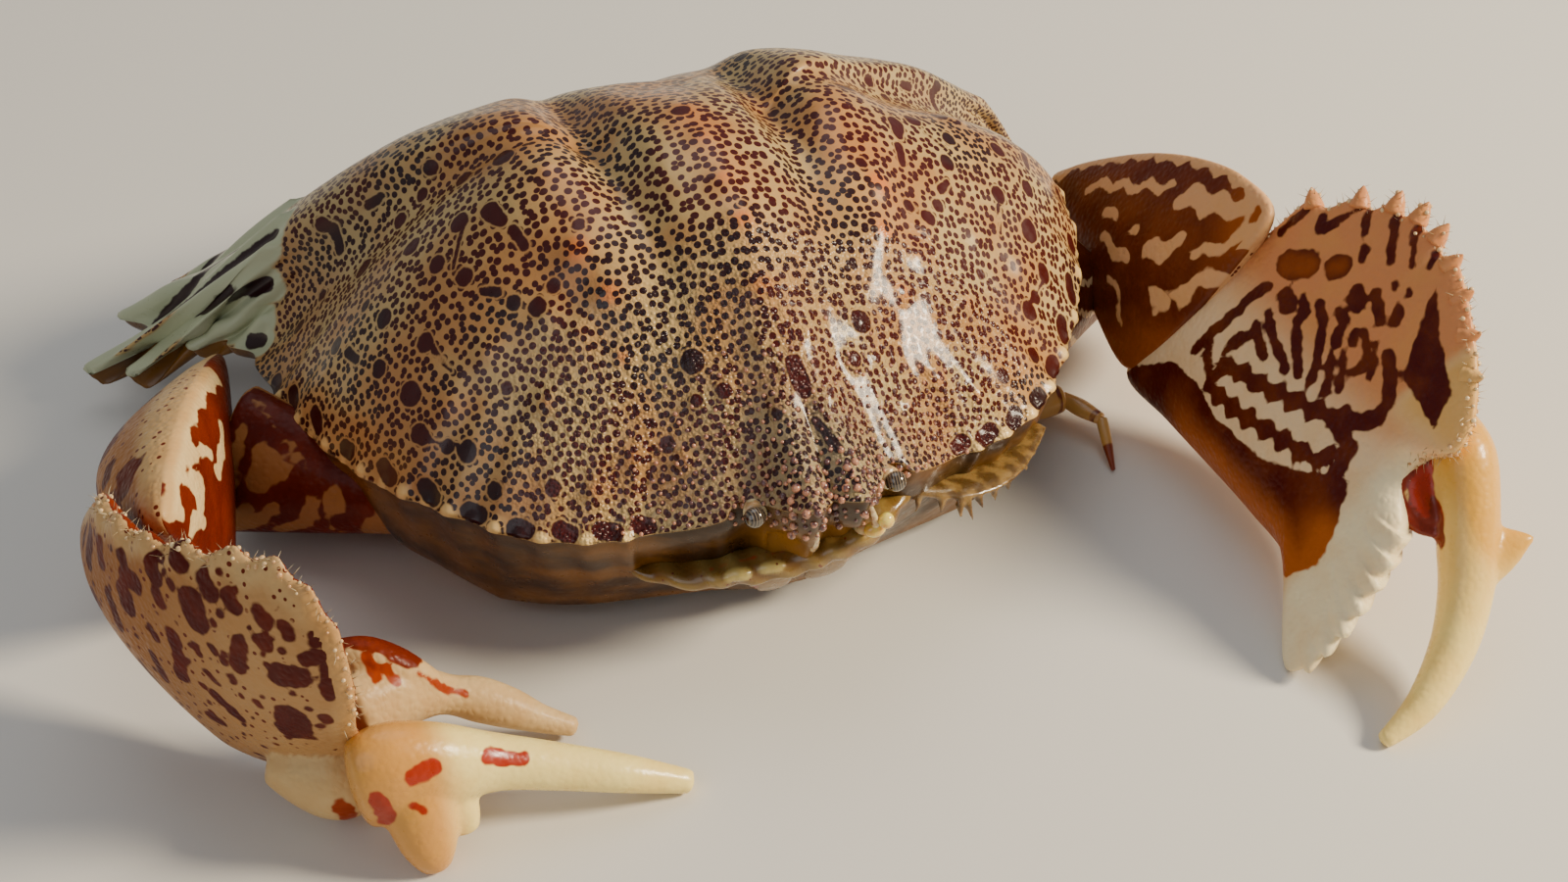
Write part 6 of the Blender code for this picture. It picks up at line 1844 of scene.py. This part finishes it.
@dataclass
class Growth:
    """A scatter of one small form, denser where the skin's field sow is higher.

    Sizes are in mm: apart is the least gap, size the largest form's radius (or a hair's length).
    """

    name: str
    form: Form
    apart: float
    size: float
    smallest: float = 0.5
    lean: float = 0.25
    seed: int = 1

    def tree(self, material: bpy.types.Material) -> bpy.types.NodeTree:
        """Return the Geometry Nodes tree that scatters the form."""
        tree = bpy.data.node_groups.new(f"{self.name}_scatter", "GeometryNodeTree")
        make = tree.interface.new_socket
        make("Skin", in_out="INPUT", socket_type="NodeSocketGeometry")
        for key in ("Apart", "Size", "Smallest", "Lean"):
            make(key, in_out="INPUT", socket_type="NodeSocketFloat")
        make("Growth", in_out="OUTPUT", socket_type="NodeSocketGeometry")
        add, link = tree.nodes.new, tree.links.new
        given = add("NodeGroupInput").outputs
        sow = add("GeometryNodeInputNamedAttribute")
        sow.data_type = "FLOAT"
        sow.inputs["Name"].default_value = "sow"
        points = add("GeometryNodeDistributePointsOnFaces")
        points.distribute_method = "POISSON"
        points.inputs["Density Max"].default_value = 4.0 / (self.apart * MM) ** 2
        points.inputs["Seed"].default_value = self.seed
        link(given["Skin"], points.inputs["Mesh"])
        link(given["Apart"], points.inputs["Distance Min"])
        link(sow.outputs["Attribute"], points.inputs["Density Factor"])
        if self.form is Form.GRAIN:
            shape = add("GeometryNodeMeshUVSphere")
            shape.inputs["Segments"].default_value = 8
            shape.inputs["Rings"].default_value = 5
            shape.inputs["Radius"].default_value = 1.0
            body = shape.outputs["Mesh"]
        else:
            shape = add("GeometryNodeMeshCone")
            thick = 0.05 if self.form is Form.HAIR else 0.2
            for key, value in (("Vertices", 5), ("Radius Bottom", thick), ("Radius Top", thick * 0.1), ("Depth", 1.0)):
                shape.inputs[key].default_value = value
            body = shape.outputs["Mesh"]
        smooth = add("GeometryNodeSetShadeSmooth")
        link(body, smooth.inputs["Geometry"])
        spread = add("FunctionNodeRandomValue")
        spread.data_type = "FLOAT"
        spread.inputs["Seed"].default_value = self.seed + 7
        link(given["Smallest"], spread.inputs[2])
        link(given["Size"], spread.inputs[3])
        tip = add("FunctionNodeRandomValue")
        tip.data_type = "FLOAT_VECTOR"
        tip.inputs["Seed"].default_value = self.seed + 13
        minus = add("ShaderNodeMath")
        minus.operation = "MULTIPLY"
        minus.inputs[1].default_value = -1.0
        link(given["Lean"], minus.inputs[0])
        link(minus.outputs[0], tip.inputs[0])
        link(given["Lean"], tip.inputs[1])
        turned = add("FunctionNodeRotateRotation")
        turned.rotation_space = "LOCAL"
        link(points.outputs["Rotation"], turned.inputs[0])
        link(tip.outputs[0], turned.inputs[1])
        placed = add("GeometryNodeInstanceOnPoints")
        link(points.outputs["Points"], placed.inputs["Points"])
        link(smooth.outputs[0], placed.inputs["Instance"])
        link(turned.outputs[0], placed.inputs["Rotation"])
        link(spread.outputs[1], placed.inputs["Scale"])
        real = add("GeometryNodeRealizeInstances")
        dress = add("GeometryNodeSetMaterial")
        dress.inputs["Material"].default_value = material
        link(placed.outputs[0], real.inputs[0])
        link(real.outputs[0], dress.inputs["Geometry"])
        link(dress.outputs[0], add("NodeGroupOutput").inputs[0])
        return tree

    def build(self, skin: Surface, sow: Array, place: Placement, finish: Finish, slot: str) -> None:
        """Scatter the form over a skin and install the result.

        Args:
            skin: what it grows on.
            sow: how densely, 0 to 1 at each vertex.
            place: how millimetres lie in the frame.
            finish: what it wears.
            slot: not used.
        """
        host_skin = Surface(skin.verts, skin.faces, {"sow": sow})
        host = host_skin.to_object(f"{self.name}_host", place, finish.build())
        scatter = host.modifiers.new("scatter", "NODES")
        scatter.node_group = self.tree(finish.build())
        values = {"Apart": self.apart * MM, "Size": self.size * MM, "Smallest": self.size * self.smallest * MM,
                  "Lean": self.lean}
        for socket in scatter.node_group.interface.items_tree:
            if socket.in_out == "INPUT" and socket.name in values:
                scatter[socket.identifier] = values[socket.name]
        mesh = bpy.data.meshes.new_from_object(host.evaluated_get(bpy.context.evaluated_depsgraph_get()))
        host.modifiers.clear()
        bpy.data.objects.remove(host, do_unlink=True)
        item = bpy.data.objects.new(self.name, mesh)
        bpy.context.scene.collection.objects.link(item)
        install(item)


# ---- stage --------------------------------------------------------------------------
@dataclass
class Studio:
    """A plain pale floor, soft lights and the camera."""

    camera_at: tuple[float, float, float] = (-70.0, -203.5, 180.6)
    target: tuple[float, float, float] = (9.257, 0.0, -2.074)
    lens: float = 58.9
    key_watts: float = 6.4
    fill_watts: float = 0.7
    floor_half: float = 2.0

    def floor(self) -> None:
        """Lay the floor as part of the stage."""
        mesh = bpy.data.meshes.new("floor")
        h = self.floor_half
        mesh.from_pydata([(-h, -h, 0.0), (h, -h, 0.0), (h, h, 0.0), (-h, h, 0.0)], [], [(0, 1, 2, 3)])
        mesh.materials.append(FLOOR.build())
        item = bpy.data.objects.new("floor", mesh)
        bpy.context.scene.collection.objects.link(item)

    def lamp(self, name: str, aim: tuple[float, float, float], watts: float, size: float,
             colour: Colour = (1.0, 1.0, 1.0), away: float = 0.6) -> None:
        """Add one area light looking at the crab from a direction.

        Args:
            name: the light's name.
            aim: direction from the crab to the light.
            watts: its power.
            size: its width in metres.
            colour: its linear colour.
            away: its distance in metres.
        """
        light = bpy.data.lights.new(name, "AREA")
        light.energy = watts
        light.shape = "DISK"
        light.size = size
        light.color = colour
        item = bpy.data.objects.new(name, light)
        item.location = Vector(aim).normalized() * away + Vector((0.0, 0.0, 0.02))
        item.rotation_euler = Vector(aim).to_track_quat("Z", "Y").to_euler()
        bpy.context.scene.collection.objects.link(item)

    def camera(self, place: Placement) -> None:
        """Set the camera at the reference viewing angle."""
        data = bpy.data.cameras.new("camera")
        data.lens = self.lens
        item = bpy.data.objects.new("camera", data)
        at, target = (Vector(place.to_frame(np.array(p))) for p in (self.camera_at, self.target))
        item.location = at
        item.rotation_euler = (at - target).to_track_quat("Z", "Y").to_euler()
        bpy.context.scene.collection.objects.link(item)
        bpy.context.scene.camera = item

    def build(self, place: Placement) -> None:
        """Set up floor, lights, world and camera."""
        self.floor()
        self.lamp("key", (0.76, -0.36, 0.52), self.key_watts, 0.16, (1.0, 0.86, 0.64))
        self.lamp("fill", (-0.8, -0.5, 0.6), self.fill_watts, 0.5, (0.9, 0.95, 1.0))
        self.lamp("top", (0.1, 0.5, 1.0), self.fill_watts, 0.5, (0.96, 0.98, 1.0))
        world = bpy.data.worlds.new("pale_world")
        world.use_nodes = True
        world.node_tree.nodes["Background"].inputs["Color"].default_value = (0.84, 0.86, 0.9, 1.0)
        world.node_tree.nodes["Background"].inputs["Strength"].default_value = 0.27
        bpy.context.scene.world = world
        self.camera(place)


def grow(shell: Surface, left: dict[str, Surface], right: dict[str, Surface], place: Placement) -> None:
    """Scatter granules and hairs over the finished skins."""
    v = shell.verts
    top = 1 - shell.fields["under"]
    front = step(v[:, 1], -21.0, -29.0) * step(np.abs(v[:, 0]), 21.0, 15.0)
    Growth("front_granules", Form.GRAIN, 0.85, 0.28, seed=3).build(shell, front * top, place, GRANULE, "shell")
    orbits = sum(bell(np.linalg.norm(v - np.array(EYE_AT) * [k, 1.0, 1.0], axis=1), 2.3, 0.8) for k in (1.0, -1.0))
    rostrum = step(v[:, 1], -32.5, -34.5) * step(np.abs(v[:, 0]), 8.0, 5.0) * step(v[:, 2], 17.0, 20.0)
    brow = np.clip(orbits + rostrum, 0, 1)
    Growth("brow_granules", Form.GRAIN, 0.95, 0.5, 0.35, seed=29).build(shell, brow, place, GRANULE, "shell")
    lip = step(v[:, 2], 9.0, 5.0) * shell.fields["under"] * step(v[:, 1], -25.0, -29.0)
    Growth("lip_hairs", Form.HAIR, 1.3, 0.9, lean=0.6, seed=5).build(shell, lip, place, BRISTLE, "shell")
    for side, skins in (("left", left), ("right", right)):
        palm = skins["palm"]
        s, t = palm.fields["s"], palm.fields["t"]
        edge = PALM_EDGE if side == "left" else RIGHT_PALM_EDGE
        rim = step(inside(np.column_stack([s, t]), edge), -0.9, -0.2) * step(s, 45.0, 40.0)
        crest = rim * step(t + 0.25 * s, 22.0, 26.0)
        Growth(f"crest_granules_{side}", Form.GRAIN, 0.85, 0.3, seed=11).build(palm, crest, place, BEAD, "claw")
        Growth(f"crest_hairs_{side}", Form.HAIR, 0.6, 1.1, lean=0.5, seed=17).build(palm, crest, place, BRISTLE, "claw")


def main() -> None:
    """Build the crab piece by piece, then the stage."""
    logging.basicConfig(level=logging.INFO, format="%(name)s %(message)s")
    place = Placement.from_frame(TAIL_REACH, WING_REACH)
    _, shell = Carapace().build(place)
    left = LeftClaw().build(place)
    right = RightClaw().build(place)
    Belly().build(place)
    for side in ("left", "right"):
        for number in (1, 2, 3, 4):
            Leg(number, side).build(place)
    Face().build(place)
    grow(shell, left, right, place)
    Studio().build(place)


if __name__ == "__main__":
    main()
